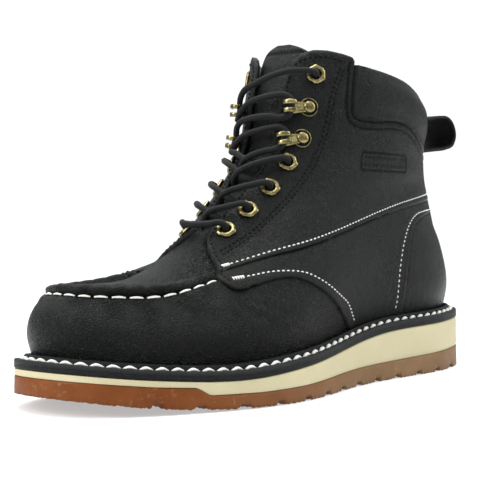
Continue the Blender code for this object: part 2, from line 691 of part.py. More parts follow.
def seat_height(around, up, front, back, half):
    """Height over the origin, along the normal, that clears the facing below a plate."""
    origin, forward, climb, normal = local_frame(around, up)
    _, d_around, d_up = last_frame(around, up)
    axes = np.stack([d_around, d_up], 1)
    highest = 0.0
    for reach in np.linspace(-back, front, 5):
        for side in (-half, 0.0, half):
            move = np.linalg.lstsq(axes, reach * forward + side * climb, rcond=None)[0]
            spot = skin(around + move[0], up + move[1], PANEL_LIFT[2])
            highest = max(highest, float(np.dot(spot - origin, normal)))
    return highest + HARDWARE_CLEARANCE


def eyelet(name, around, up):
    """Six-sided brass eyelet lying on the facing."""
    origin, forward, climb, normal = local_frame(around, up)
    base = seat_height(around, up, EYELET_CORNER_RADIUS, EYELET_CORNER_RADIUS, EYELET_CORNER_RADIUS)
    flat = math.cos(math.radians(30))
    top = base + EYELET_HEIGHT
    rings = [
        (EYELET_HOLE_RADIUS, True, base), (EYELET_CORNER_RADIUS, False, base),
        (EYELET_CORNER_RADIUS, False, base + EYELET_HEIGHT / 2), (EYELET_CORNER_RADIUS - 0.9, False, top),
        (EYELET_HOLE_RADIUS + 0.5, True, top), (EYELET_HOLE_RADIUS, True, top - 0.6),
    ]
    vertices = []
    for radius, round_ring, height in rings:
        for k in range(12):
            turn = math.radians(30 * k)
            reach = radius if round_ring or k % 2 == 0 else radius * flat
            spoke = math.cos(turn) * forward + math.sin(turn) * climb
            vertices.append(origin + reach * spoke + height * normal)
    faces = []
    for r in range(len(rings)):
        s = (r + 1) % len(rings)
        for k in range(12):
            n = (k + 1) % 12
            faces.append((r * 12 + k, r * 12 + n, s * 12 + n, s * 12 + k))
    return place(name, vertices, faces, BRASS)


def hook(name, around, up):
    """Brass speed hook: round riveted plate, neck and a lip that curls back over the lace."""
    origin, forward, climb, normal = local_frame(around, up)
    base = seat_height(around, up, *HOOK_SEAT) + HOOK_CLEARANCE
    vertices = []
    faces = []
    for reach, height in HOOK_PROFILE:
        for side in (-HOOK_HALF_WIDTH, HOOK_HALF_WIDTH):
            vertices.append(origin + reach * forward + side * climb + (base + height) * normal)
    count = len(HOOK_PROFILE)
    for k in range(count):
        n = (k + 1) % count
        faces.append((2 * k, 2 * k + 1, 2 * n + 1, 2 * n))
    half_count = count // 2
    for side in (0, 1):
        for k in range(half_count - 1):
            a, b = k, k + 1
            c, d = count - 2 - k, count - 1 - k
            faces.append((2 * a + side, 2 * b + side, 2 * c + side, 2 * d + side))
    return place(name, vertices, faces, BRASS)


def strand(start, end, lifts, flip):
    """Path of a lace over the facings and the tongue, between two places and through five lifts."""
    share = np.linspace(0, 1, 9)
    lift = np.interp(share, np.linspace(0, 1, len(lifts)), lifts)
    around = start[0] + (end[0] - start[0]) * share
    up = start[1] + (end[1] - start[1]) * share
    return skin(TURN - around if flip else around, up, lift)


def joined_strands(name, first_path, second_path):
    """Two strands that cross or turn over the tongue, joined where they touch."""
    first = tube(name, first_path, LACE_RADIUS, LACE_SIDES, CORD)
    second = tube(name + "_second", second_path, LACE_RADIUS, LACE_SIDES, CORD)
    boot.objects.unlink(second)
    cutters.objects.link(second)
    second.hide_render = True
    second.display_type = "WIRE"
    union = first.modifiers.new("join", "BOOLEAN")
    union.operation = "UNION"
    union.solver = "EXACT"
    union.object = second


for old in list(bpy.data.objects):
    bpy.data.objects.remove(old, do_unlink=True)

boot = bpy.data.collections.new("wedge_sole_work_boot")
bpy.context.scene.collection.children.link(boot)
cutters = bpy.data.collections.new("cutters")
bpy.context.scene.collection.children.link(cutters)

LEATHER = material("black_leather", (0.020, 0.021, 0.021), 0.45)
WELT_BLACK = material("welt_black", (0.030, 0.031, 0.032), 0.5)
CREAM = material("cream_foam", (0.72, 0.66, 0.45), 0.7)
GUM = material("gum_rubber", (0.40, 0.17, 0.07), 0.6)
LINING = material("footbed_lining", (0.10, 0.09, 0.08), 0.8)
WEBBING = material("loop_leather", (0.018, 0.018, 0.019), 0.6)
BRASS = material("antique_brass", (0.45, 0.33, 0.13), 0.35, 1.0)
CORD = material("lace_cord", (0.015, 0.016, 0.016), 0.8)

outsole()
midsole()
welt()
insole()
upper()
tongue()
backstay()
pull_loop()
for side_name, flip in (("outer", False), ("inner", True)):
    for number, (around, up) in enumerate(EYELETS):
        eyelet(f"eyelet_{side_name}_{number + 1}", TURN - around if flip else around, up)
    for number, (around, up) in enumerate(HOOKS):
        hook(f"hook_{side_name}_{number + 1}", TURN - around if flip else around, up)

bar_end = (TURN - EYELETS[0][0], EYELETS[0][1])
tube("lace_bar", strand(EYELETS[0], bar_end, BAR_LIFTS, False), LACE_RADIUS, LACE_SIDES, CORD)
for number, crossing in enumerate(CROSSINGS):
    joined_strands(f"lace_crossing_{number + 1}", strand(*crossing, False), strand(*crossing, True))
for number, (turn, low, high, low_lifts, high_lifts) in enumerate(TURNS):
    lower = strand(low, turn, low_lifts, False)
    upper_run = strand(high, turn, high_lifts, False)
    joined_strands(f"lace_turn_{number + 1}", lower, upper_run)
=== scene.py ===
"""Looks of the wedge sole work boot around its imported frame.

Tables are in millimetres, x 0 at mid-sole. around is 0 at the back and 180 at the front, by the outer
side; up is 0 at the feather line and 1 at the collar.
"""

import math

import bmesh
import bpy
import numpy as np
from mathutils import Matrix, Vector, kdtree, noise
from mathutils.geometry import delaunay_2d_cdt


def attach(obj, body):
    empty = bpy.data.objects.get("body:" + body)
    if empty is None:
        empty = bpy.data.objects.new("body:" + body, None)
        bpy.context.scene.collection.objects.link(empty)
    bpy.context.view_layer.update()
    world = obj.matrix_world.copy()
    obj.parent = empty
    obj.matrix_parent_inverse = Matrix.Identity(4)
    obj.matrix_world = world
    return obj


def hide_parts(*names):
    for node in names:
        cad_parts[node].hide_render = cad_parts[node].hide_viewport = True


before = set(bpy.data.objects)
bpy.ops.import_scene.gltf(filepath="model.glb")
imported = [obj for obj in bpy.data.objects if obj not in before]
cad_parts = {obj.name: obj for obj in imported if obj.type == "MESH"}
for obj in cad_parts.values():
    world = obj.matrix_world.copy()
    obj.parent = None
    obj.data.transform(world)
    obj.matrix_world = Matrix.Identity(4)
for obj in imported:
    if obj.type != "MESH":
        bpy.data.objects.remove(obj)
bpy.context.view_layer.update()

MM = 0.001
TURN = 360.0
FRAME_SHIFT = np.array((7.75, -0.22, 0.0))
SOLE_HALF = 151.0

SWING = [
    (-151, 0.0), (-110, 0.0), (-60, 1.5), (-20, 3.5),
    (25, 3.5), (70, -1.0), (110, -7.0), (151, -12.0),
]
RING_SHARES = (0.12, 0.40, 0.66, 0.88)
# up, back x, front x, swing share, z at back, heel, waist, ball, toe, front
RING_HEIGHTS = [
    (0.00, -142.5, 142.5, 1.0, 34.3, 33.8, 29.5, 19.8, 20.2, 24.8),
    (0.12, -145.0, 145.0, 1.0, 47.5, 47.0, 43.0, 33.5, 33.0, 37.0),
    (0.24, -144.0, 141.5, 1.0, 61.0, 60.5, 56.0, 46.5, 45.0, 48.5),
    (0.34, -140.5, 132.5, 1.0, 75.0, 74.0, 69.0, 59.0, 55.5, 56.5),
    (0.41, -137.5, 122.0, 1.0, 83.0, 82.0, 77.5, 66.5, 57.5, 58.0),
    (0.49, -133.5, 100.0, 0.9, 94.0, 93.0, 88.0, 77.0, 60.5, 59.5),
    (0.58, -129.0, 72.0, 0.8, 107.0, 106.0, 102.0, 95.0, 74.5, 69.0),
    (0.68, -126.0, 37.5, 0.7, 121.0, 120.5, 118.0, 113.5, 101.5, 96.0),
    (0.78, -124.5, 15.0, 0.5, 133.0, 132.5, 131.5, 129.5, 125.0, 122.0),
    (0.89, -123.0, 6.5, 0.4, 144.5, 145.5, 148.5, 150.0, 150.0, 150.0),
    (1.00, -119.0, -0.5, 0.3, 152.0, 155.5, 164.0, 168.5, 170.0, 170.0),
    (1.08, -115.5, -5.0, 0.2, 158.5, 163.0, 174.0, 182.0, 184.5, 184.5),
]
# up, half width at heel, waist, ball, toe, end radius at back, end radius at front
RING_WIDTHS = [
    (0.00, 33.0, 33.0, 47.0, 38.5, 34, 44),
    (0.12, 35.5, 36.0, 49.5, 40.5, 35, 44),
    (0.24, 34.5, 37.0, 48.0, 38.0, 32, 42),
    (0.34, 32.0, 37.0, 43.5, 33.5, 29, 39),
    (0.41, 29.5, 36.0, 39.5, 29.0, 26, 33),
    (0.49, 27.0, 34.5, 36.0, 24.0, 23, 26),
    (0.58, 25.0, 34.0, 33.0, 20.5, 21, 22),
    (0.68, 24.5, 34.0, 32.0, 20.5, 20, 20),
    (0.78, 24.5, 35.0, 33.0, 22.5, 20, 21),
    (0.89, 25.0, 36.0, 34.5, 24.5, 20, 23),
    (1.00, 23.5, 35.0, 35.0, 25.5, 19, 25),
    (1.08, 21.5, 34.0, 35.0, 26.5, 18, 26),
]
SOLE_SHARES = (0.14, 0.42, 0.68, 0.88)
SOLE_HALF_WIDTHS = (41.0, 41.0, 56.0, 45.0)
SOLE_END_RADII = (42.0, 48.0)
TOE_SPRING = [(-151, 0.0), (60, 0.0), (80, 0.4), (100, 1.4), (125, 4.0), (151, 8.1)]
GUM_TOP = [
    (-151, 12.8), (-100, 11.2), (-50, 9.9), (0, 9.0), (40, 7.6), (70, 7.2), (96, 7.8), (102, 11.6),
    (120, 13.0), (151, 16.6),
]
MIDSOLE_TOP = [
    (-151, 29.3), (-100, 27.9), (-50, 26.1), (0, 20.4), (40, 16.5), (80, 13.7), (120, 16.1), (151, 19.8),
]

# Panel lines of the upper, as around, up
QUARTER_EDGE = [
    (173.5, 0.640), (167, 0.608), (158, 0.585), (147, 0.551), (141, 0.524), (137, 0.492), (132, 0.440),
    (128.5, 0.395), (126.3, 0.352), (124.5, 0.327), (122, 0.318), (119.5, 0.326), (116, 0.342), (112, 0.350),
    (108, 0.345), (102, 0.308), (95, 0.236), (89, 0.132), (84, 0.036), (81, -0.03),
]
SHAFT_EDGE = [
    (137, 0.492), (125, 0.474), (110, 0.459), (97, 0.462), (84, 0.474), (73, 0.488), (61, 0.504),
    (41, 0.519), (20, 0.525), (0, 0.527),
]
COUNTER_EDGE = [
    (61, -0.03), (61, 0.06), (61, 0.15), (59.5, 0.27), (56.5, 0.36), (52.5, 0.425), (45, 0.458),
    (30, 0.470), (15, 0.474), (0, 0.475),
]
COLLAR_SEAM = [
    (120, 1.0), (120, 0.95), (118.5, 0.89), (116, 0.845), (111, 0.836), (104, 0.832), (87, 0.837),
    (76, 0.832), (67, 0.812), (53, 0.765), (40, 0.725), (20, 0.690), (0, 0.680),
]
MOC_LINE = [
    (180, 0.330), (174, 0.331), (168, 0.332), (162, 0.335), (157, 0.338), (152, 0.342), (147, 0.347),
    (143, 0.355), (139.5, 0.368), (137, 0.385), (135, 0.405), (133.5, 0.430),
]
FACING_EDGE = [
    (173.5, 0.640), (171.5, 0.680), (167, 0.735), (165.5, 0.790), (165.5, 0.850), (165, 0.910),
    (164, 0.965), (162, 1.000),
]
TOP_EDGE = [
    (162, 1.000), (157, 1.022), (149, 1.034), (140, 1.034), (130, 1.028), (122, 1.020), (120, 1.000),
    (107, 0.998), (93, 0.998), (78, 0.999), (64, 0.999), (50, 0.999), (35, 1.0), (18, 1.0), (0, 1.0),
]
# Stitch lines
LOWER_STITCH = [
    (124, 0.377), (119, 0.380), (115.4, 0.383), (109.4, 0.371), (104.4, 0.350), (97, 0.289),
    (89.5, 0.201), (87, 0.167), (81.3, 0.045),
]
UPPER_STITCH = [
    (137, 0.513), (125, 0.495), (109.8, 0.480), (97, 0.483), (73.5, 0.510), (61.3, 0.526),
    (41, 0.541), (20, 0.547), (7, 0.548),
]
COUNTER_STITCH = [
    (7, 0.490), (20, 0.486), (31.5, 0.481), (43, 0.479), (50.3, 0.470), (55.7, 0.438), (60, 0.372),
    (62.8, 0.291), (64.3, 0.162), (64.1, 0.048),
]
FACING_STITCH = [
    (146.8, 0.567), (143, 0.577), (136.4, 0.593), (132, 0.621), (129.0, 0.650), (128.3, 0.699),
    (130, 0.777), (130.4, 0.817), (130, 0.871), (129.5, 0.92), (127, 0.985),
]
EDGE_STITCH = [
    (170.5, 0.650), (168.5, 0.690), (164, 0.740), (162.5, 0.790), (162.5, 0.850), (162, 0.910),
    (161, 0.965), (158.5, 0.995), (154, 1.006), (147, 1.014), (138, 1.013), (129, 1.006),
]

FEATHER_UP = -0.03
LINING_DEPTH = 1.4
PANEL_STEP = 0.8
SHAFT_STEP = 0.7
TONGUE_DEPTH = 2.6
BACKSTAY_LIFT = 2.3
BACKSTAY_HALF_WIDTH = 12.0

EYELETS = [(160.5, 0.627), (155.6, 0.658), (150.5, 0.696), (148.5, 0.748), (144.5, 0.960)]
HOOKS = [(145.5, 0.800), (145.0, 0.870)]
EYELET_CORNER = 5.7
EYELET_HOLE = 3.0
LACE_RADIUS = 1.7

# Camera, in the frame of the tables
CAMERA_PLACE = (507.2, 431.5, 88.5)
CAMERA_AZIMUTH = 41.780
CAMERA_PITCH = -1.029
CAMERA_ROLL = -0.393
CAMERA_LENS = 93.5


def run_length(places):
    """Length along a line of points, at each of them."""
    return np.concatenate([[0], np.cumsum(np.linalg.norm(np.diff(places, axis=0), axis=1))])


def cubic(t, width, values, slopes):
    """Value between two ends with given values and slopes."""
    rise = 3 * t ** 2 - 2 * t ** 3
    return ((1 - rise) * values[0] + (t ** 3 - 2 * t ** 2 + t) * width * slopes[0]
            + rise * values[1] + (t ** 3 - t ** 2) * width * slopes[1])


def hermite(key, values, at):
    """Smooth curve through values at rising keys."""
    step = np.diff(key)
    slope = np.diff(values, axis=0) / step[:, None]
    tangent = np.empty_like(values)
    before, after = step[:-1, None], step[1:, None]
    tangent[1:-1] = (slope[:-1] * after + slope[1:] * before) / (before + after)
    tangent[0] = slope[0]
    tangent[-1] = slope[-1]
    at = np.asarray(at, float)
    i = np.clip(np.searchsorted(key, at) - 1, 0, len(key) - 2)
    width = step[i][..., None]
    t = (at[..., None] - key[i][..., None]) / width
    return cubic(t, width, (values[i], values[i + 1]), (tangent[i], tangent[i + 1]))


def curve(table, at):
    """Smooth curve through the rows of a table: first column against the others."""
    rows = np.asarray(table, float)
    return hermite(rows[:, 0], rows[:, 1:], at)


def curve_1(table, x):
    """Smooth curve through a table of two columns."""
    return curve(table, x)[..., 0]


def line(table, at):
    """Straight runs between the rows of a table of two columns."""
    rows = np.asarray(table, float)
    return np.interp(at, rows[:, 0], rows[:, 1])


def swing(x):
    """Sideways shift of the sole's middle line."""
    return curve_1(SWING, np.clip(x, -SOLE_HALF, SOLE_HALF))


def along_ring(angle, stations, values):
    """Value at an angle 0..pi from its values at the stations, flat at both ends."""
    step = np.diff(stations)
    slope = np.diff(values, axis=-1) / step
    tangent = np.zeros_like(values)
    tangent[..., 1:-1] = (slope[..., :-1] * step[1:] + slope[..., 1:] * step[:-1]) / (step[1:] + step[:-1])
    i = np.clip(np.searchsorted(stations, angle) - 1, 0, len(stations) - 2)

    def ends(array):
        return [np.take_along_axis(array, k[..., None], -1)[..., 0] for k in (i, i + 1)]

    return cubic((angle - stations[i]) / step[i], step[i], ends(values), ends(tangent))


def ring_plan(around, back, front, shares, widths, radii):
    """Plan of a ring: widths at shares of its length, and round ends of given radii."""
    angle = np.radians(np.mod(around, TURN))
    side = np.where(angle <= math.pi, 1.0, -1.0)
    angle = np.where(angle <= math.pi, angle, 2 * math.pi - angle)
    stations = np.concatenate([[0.0], np.arccos(1 - 2 * np.asarray(shares)), [math.pi]])
    half = (front - back) / 2
    spread = [np.sqrt(radii[0] * half)]
    spread += [widths[k] / math.sin(stations[k + 1]) for k in range(len(shares))]
    spread += [np.sqrt(radii[1] * half)]
    x = back + (front - back) * (1 - np.cos(angle)) / 2
    spread = np.stack(np.broadcast_arrays(angle, *spread)[1:], -1)
    y = side * np.sin(angle) * along_ring(angle, stations, spread)
    return x, y, angle, stations


def last(around, up):
    """Point of the last's surface, in millimetres."""
    around, up = np.broadcast_arrays(np.asarray(around, float), np.asarray(up, float))
    heights = curve(RING_HEIGHTS, up)
    widths = curve(RING_WIDTHS, up)
    x, y, angle, stations = ring_plan(around, heights[..., 0], heights[..., 1], RING_SHARES,
                                      [widths[..., k] for k in range(4)], (widths[..., 4], widths[..., 5]))
    y = y + swing(x) * heights[..., 2]
    z = along_ring(angle, stations, heights[..., 3:9])
    return np.stack([x, y, z], -1)


def last_frame(around, up):
    """Outward normal, and the steps that one degree and one unit of up make."""
    around, up = np.broadcast_arrays(np.asarray(around, float), np.asarray(up, float))
    d_around = (last(around + 0.5, up) - last(around - 0.5, up))
    d_up = (last(around, up + 0.005) - last(around, up - 0.005)) / 0.01
    normal = np.cross(d_up, d_around)
    normal /= np.linalg.norm(normal, axis=-1, keepdims=True)
    return normal, d_around, d_up


def skin(around, up, lift):
    """Point at a height over the last."""
    normal = last_frame(around, up)[0]
    return last(around, up) + normal * np.asarray(lift, float)[..., None]


def unit(vectors):
    return vectors / np.maximum(np.linalg.norm(vectors, axis=-1, keepdims=True), 1e-9)


def moved(around, up, step):
    """The place (around, up) that lies a small step in mm, a vector, from another."""
    _, a, b = last_frame(around, up)
    part = np.linalg.lstsq(np.stack([a, b], 1), step, rcond=None)[0]
    return around + part[0], up + part[1]


def shifted(points, across):
    """The line of (around, up) points moved sideways on the surface by a distance in mm."""
    rows = np.asarray(points, float)
    places = last(rows[:, 0], rows[:, 1])
    normal = last_frame(rows[:, 0], rows[:, 1])[0]
    forward = unit(np.gradient(places, axis=0))
    left = np.cross(normal, forward) * across
    return [moved(row[0], row[1], move) for row, move in zip(rows, left)]


def mirrored(points):
    """The same line on the boot's other side."""
    return [(TURN - a, u) for a, u in points]


def smooth_line(points, spacing):
    """Evenly spaced (around, up) points on a smooth curve through the rows."""
    rows = np.asarray(points, float)
    key = run_length(last(rows[:, 0], rows[:, 1]))
    fine = hermite(key, rows, np.linspace(0, key[-1], int(key[-1] / 0.2) + 2))
    run = run_length(last(fine[:, 0], fine[:, 1]))
    at = np.linspace(0, run[-1], max(1, int(round(run[-1] / spacing))) + 1)
    return [(float(a), float(u)) for a, u in zip(*(np.interp(at, run, column) for column in fine.T))]


def straight_line(points, spacing):
    """Points at an even spacing on straight runs between the rows."""
    rows = np.asarray(points, float)
    out = [tuple(rows[0])]
    for start, end in zip(rows[:-1], rows[1:]):
        count = max(1, int(round(np.linalg.norm(last(*end) - last(*start)) / spacing)))
        out += [tuple(start + (end - start) * k / count) for k in range(1, count + 1)]
    return out


def inside(polygon, x, y):
    """Even-odd test of places against a closed polygon."""
    shape = np.asarray(polygon, float)
    hit = np.zeros(np.shape(x), bool)
    for (x0, y0), (x1, y1) in zip(shape, np.roll(shape, -1, axis=0)):
        if y0 == y1:
            continue
        crossing = ((y0 > y) != (y1 > y)) & (x < (x1 - x0) * (y - y0) / (y1 - y0) + x0)
        hit ^= crossing
    return hit


def ramp(value, low, high):
    """Smooth step from 0 at low to 1 at high."""
    t = np.clip((value - low) / (high - low), 0, 1)
    return t * t * (3 - 2 * t)


def bell(distance, width):
    """1 at distance 0, fading out over the width."""
    return np.exp(-(distance / width) ** 2)


class Track:
    """A line drawn on both sides of the upper; tells how far places are from it and where along it."""

    def __init__(self, rows):
        self.sides = []
        for side, sign in ((rows, 1), (mirrored(rows), -1)):
            fine = smooth_line(side, 0.5)
            points = last(*np.array(fine).T)
            tree = kdtree.KDTree(len(points))
            for k, point in enumerate(points):
                tree.insert(point, k)
            tree.balance()
            normal = last_frame(*np.array(fine).T)[0]
            left = np.cross(normal, unit(np.gradient(points, axis=0))) * sign
            self.sides.append((tree, points, run_length(points), left))

    def near(self, around, up):
        """Distance, signed distance (plus on the line's left) and length along, for arrays of places."""
        places = last(around, up)
        distance = np.empty(len(places))
        signed = np.empty(len(places))
        along = np.empty(len(places))
        for k, place in enumerate(places):
            tree, points, run, left = self.sides[1 if around[k] > TURN / 2 else 0]
            _, at, gap = tree.find(place)
            distance[k] = gap
            signed[k] = np.copysign(gap, float(np.dot(place - points[at], left[at])))
            along[k] = run[at]
        return distance, signed, along


def material(name, **values):
    """Principled material with the given inputs."""
    made = bpy.data.materials.new(name)
    made.use_nodes = True
    shader = made.node_tree.nodes["Principled BSDF"]
    for key, value in values.items():
        socket = shader.inputs[key.replace("_", " ")]
        socket.default_value = (*value, 1.0) if isinstance(value, tuple) else value
    return made


class Nodes:
    """Short way to build a material's node tree."""

    def __init__(self, made):
        self.tree = made.node_tree
        self.shader = self.tree.nodes["Principled BSDF"]
        self.place = self.new("ShaderNodeTexCoord").outputs["Object"]

    def new(self, kind, **settings):
        node = self.tree.nodes.new(kind)
        for key, value in settings.items():
            setattr(node, key, value)
        return node

    def link(self, source, target):
        self.tree.links.new(source, target)

    def fill(self, node, **values):
        for key, value in values.items():
            socket = node.inputs[key.replace("_", " ")]
            if isinstance(value, bpy.types.NodeSocket):
                self.link(value, socket)
            else:
                socket.default_value = value
        return node

    def noise(self, scale, detail=3.0, roughness=0.55, distortion=0.0):
        node = self.new("ShaderNodeTexNoise")
        self.fill(node, Vector=self.place, Scale=scale, Detail=detail, Roughness=roughness,
                  Distortion=distortion)
        return node.outputs["Fac"]

    def cells(self, scale, feature="DISTANCE_TO_EDGE"):
        node = self.new("ShaderNodeTexVoronoi", feature=feature)
        self.fill(node, Vector=self.place, Scale=scale)
        return node.outputs["Distance"]

    def ramp(self, value, *stops):
        node = self.new("ShaderNodeValToRGB")
        self.link(value, node.inputs["Fac"])
        while len(node.color_ramp.elements) < len(stops):
            node.color_ramp.elements.new(0.5)
        for element, (at, shade) in zip(node.color_ramp.elements, stops):
            element.position = at
            element.color = (shade, shade, shade, 1.0)
        return node.outputs["Color"]

    def math(self, operation, a, b=0.0):
        node = self.new("ShaderNodeMath", operation=operation)
        for socket, value in zip(node.inputs, (a, b)):
            if isinstance(value, bpy.types.NodeSocket):
                self.link(value, socket)
            else:
                socket.default_value = value
        return node.outputs[0]

    def scaled(self, value, times, plus):
        return self.math("ADD", self.math("MULTIPLY", value, times), plus)

    def mix(self, share, a, b):
        node = self.new("ShaderNodeMix", data_type="RGBA")
        for index, value in ((0, share), (6, a), (7, b)):
            if isinstance(value, bpy.types.NodeSocket):
                self.link(value, node.inputs[index])
            elif index == 0:
                node.inputs[0].default_value = value
            else:
                node.inputs[index].default_value = (*value, 1.0)
        return node.outputs[2]

    def attribute(self, name):
        return self.new("ShaderNodeAttribute", attribute_name=name).outputs["Fac"]

    def bump(self, height, strength, distance, under=None):
        node = self.new("ShaderNodeBump")
        self.fill(node, Strength=strength, Distance=distance, Height=height)
        if under is not None:
            self.link(under, node.inputs["Normal"])
        return node.outputs["Normal"]

    def wire(self, **sockets):
        for key, value in sockets.items():
            self.link(value, self.shader.inputs[key.replace("_", " ")])


def leather(name, colour, rough, grain, grain_scale):
    """Black full-grain leather: pebbled grain, faint mottling; mesh attributes give worn edges with a painted
    highlight, and painted shade in gaps.
    """
    made = material(name, Base_Color=colour, Roughness=rough, Specular_IOR_Level=0.1)
    n = Nodes(made)
    pebbles = n.ramp(n.cells(grain_scale), (0.0, 0.0), (0.16, 0.85), (0.5, 1.0))
    fine = n.noise(grain_scale * 2.2, 4.0, 0.6)
    folds = n.noise(grain_scale * 0.16, 4.0, 0.6, 0.6)
    mottling = n.noise(34.0, 4.0, 0.6)
    # edges lighter and rougher: rubbed wear and a painted highlight
    wear_and_highlight = n.attribute("wear_and_highlight")
    worn_and_highlit = tuple(min(1.0, c * 2.6 + 0.014) for c in colour)
    deep = tuple(c * 0.62 for c in colour)
    tone = n.mix(n.ramp(mottling, (0.35, 0.0), (0.7, 1.0)), deep, colour)
    light = tuple(c * 2.0 + 0.001 for c in colour)
    tone = n.mix(n.ramp(n.noise(grain_scale * 0.5, 4.0, 0.7), (0.5, 0.0), (0.72, 0.7)), tone, light)
    tone = n.mix(n.math("MULTIPLY", wear_and_highlight, 0.75), tone, worn_and_highlit)
    # painted shade: near-black, less reflective leather where the mesh's dark attribute marks gaps and
    # grooves
    shade = n.attribute("dark")
    n.wire(Base_Color=n.mix(shade, tone, (0.001, 0.001, 0.001)))
    n.wire(Specular_IOR_Level=n.math("MULTIPLY", n.math("SUBTRACT", 1.0, shade), 0.1))
    gloss = n.scaled(mottling, 0.2, rough - 0.1)
    gloss = n.math("ADD", gloss, n.math("MULTIPLY", pebbles, -0.05))
    n.wire(Roughness=n.math("ADD", gloss, n.math("MULTIPLY", wear_and_highlight, 0.12)))
    crackle = n.bump(n.noise(grain_scale * 0.36, 6.0, 0.65, 1.8), 0.55 * grain, 0.0009)
    coarse = n.bump(folds, 0.8 * grain, 0.0012, crackle)
    pebbled = n.bump(pebbles, 0.8 * grain, 0.0005, coarse)
    n.wire(Normal=n.bump(fine, 0.5 * grain, 0.0003, pebbled))
    return made


def thread(name, colour, rough=0.75, sheen=0.25):
    """Sewing thread with fine fibres."""
    made = material(name, Base_Color=colour, Roughness=rough, Specular_IOR_Level=0.3 * sheen + 0.08,
                    Sheen_Weight=sheen)
    n = Nodes(made)
    fibres = n.noise(2600.0, 3.0, 0.7)
    dark = tuple(c * 0.72 for c in colour)
    n.wire(Base_Color=n.mix(fibres, dark, colour), Normal=n.bump(fibres, 0.5, 0.0002))
    return made


def foam(name, colour, stain):
    """Foam rubber, clouded between two tones."""
    made = material(name, Base_Color=colour, Roughness=0.62, Specular_IOR_Level=0.35)
    n = Nodes(made)
    cloud = n.noise(26.0, 5.0, 0.6)
    speck = n.noise(900.0, 4.0, 0.7)
    tone = n.mix(n.ramp(cloud, (0.3, 0.0), (0.75, 1.0)), colour, stain)
    n.wire(Base_Color=tone, Roughness=n.scaled(speck, 0.18, 0.52))
    n.wire(Normal=n.bump(speck, 0.25, 0.0002, n.bump(cloud, 0.2, 0.0008)))
    return made


def gum(name):
    """Gum rubber: saturated at the toe, dustier along the waist and heel."""
    made = material(name, Base_Color=(0.3, 0.12, 0.03), Roughness=0.55, Specular_IOR_Level=0.15)
    n = Nodes(made)
    split = n.new("ShaderNodeSeparateXYZ")
    n.link(n.place, split.inputs[0])
    reach = n.new("ShaderNodeMapRange")
    n.fill(reach, Value=split.outputs["X"])
    for key, value in (("From Min", -0.02), ("From Max", 0.115)):
        reach.inputs[key].default_value = value
    cloud = n.noise(38.0, 5.0, 0.65)
    heel = n.mix(n.ramp(cloud, (0.3, 0.0), (0.7, 1.0)), (0.14, 0.078, 0.033), (0.195, 0.115, 0.056))
    toe = n.mix(n.ramp(cloud, (0.3, 0.0), (0.7, 1.0)), (0.125, 0.032, 0.005), (0.18, 0.055, 0.011))
    speck = n.noise(700.0, 5.0, 0.7)
    scuffs = n.noise(150.0, 5.0, 0.7, 1.2)
    tone = n.mix(reach.outputs[0], heel, toe)
    tone = n.mix(n.ramp(scuffs, (0.60, 0.0), (0.74, 0.5)), tone, (0.33, 0.21, 0.11))
    n.wire(Base_Color=tone, Roughness=n.scaled(speck, 0.2, 0.42))
    n.wire(Normal=n.bump(speck, 0.35, 0.0003, n.bump(scuffs, 0.25, 0.0006)))
    return made


def brass(name):
    """Aged brass, brighter where it is rubbed."""
    made = material(name, Base_Color=(0.40, 0.33, 0.13), Metallic=1.0, Roughness=0.3)
    n = Nodes(made)
    patina = n.noise(320.0, 5.0, 0.65)
    tone = n.mix(n.ramp(patina, (0.35, 0.0), (0.7, 1.0)), (0.09, 0.076, 0.032), (0.37, 0.315, 0.145))
    n.wire(Base_Color=tone, Roughness=n.scaled(patina, 0.3, 0.14))
    n.wire(Normal=n.bump(patina, 0.2, 0.0002))
    return made


def braid(name):
    """Matt black cord with fine fibres."""
    made = material(name, Base_Color=(0.004, 0.004, 0.0045), Roughness=0.75, Specular_IOR_Level=0.15,
                    Sheen_Weight=0.04)
    n = Nodes(made)
    fine = n.noise(2400.0, 2.0, 0.6)
    n.wire(Base_Color=n.mix(fine, (0.002, 0.002, 0.0025), (0.011, 0.0115, 0.012)))
    n.wire(Normal=n.bump(fine, 0.4, 0.0002))
    return made


def cloth(name, colour):
    """Woven lining."""
    made = material(name, Base_Color=colour, Roughness=0.85, Sheen_Weight=0.3)
    n = Nodes(made)
    weave = n.cells(1500.0, "F1")
    cloud = n.noise(60.0, 3.0)
    dark = tuple(c * 0.6 for c in colour)
    n.wire(Base_Color=n.mix(cloud, dark, colour), Normal=n.bump(weave, 0.35, 0.0003))
    return made


BLACK = (0.0034, 0.0043, 0.0036)
SMOOTH = leather("shaft_leather", BLACK, 0.32, 0.6, 1000.0)
GRAINED = leather("vamp_leather", BLACK, 0.30, 1.0, 760.0)
STRAP = leather("strap_leather", (0.0035, 0.0035, 0.0037), 0.56, 0.7, 1100.0)
WELT = leather("welt_leather", (0.0065, 0.0075, 0.0078), 0.46, 0.5, 1300.0)
LINING = cloth("collar_lining", (0.035, 0.034, 0.033))
FOOTBED = cloth("footbed_cloth", (0.06, 0.055, 0.05))
CREAM = foam("cream_foam", (0.48, 0.434, 0.278), (0.42, 0.378, 0.23))
GUM = gum("gum_rubber")
WHITE = thread("white_thread", (0.72, 0.71, 0.66))
DARK = thread("black_thread", (0.0022, 0.0022, 0.0024), 0.6, 0.0)
BRASS = brass("antique_brass")
CORD = braid("braided_cord")


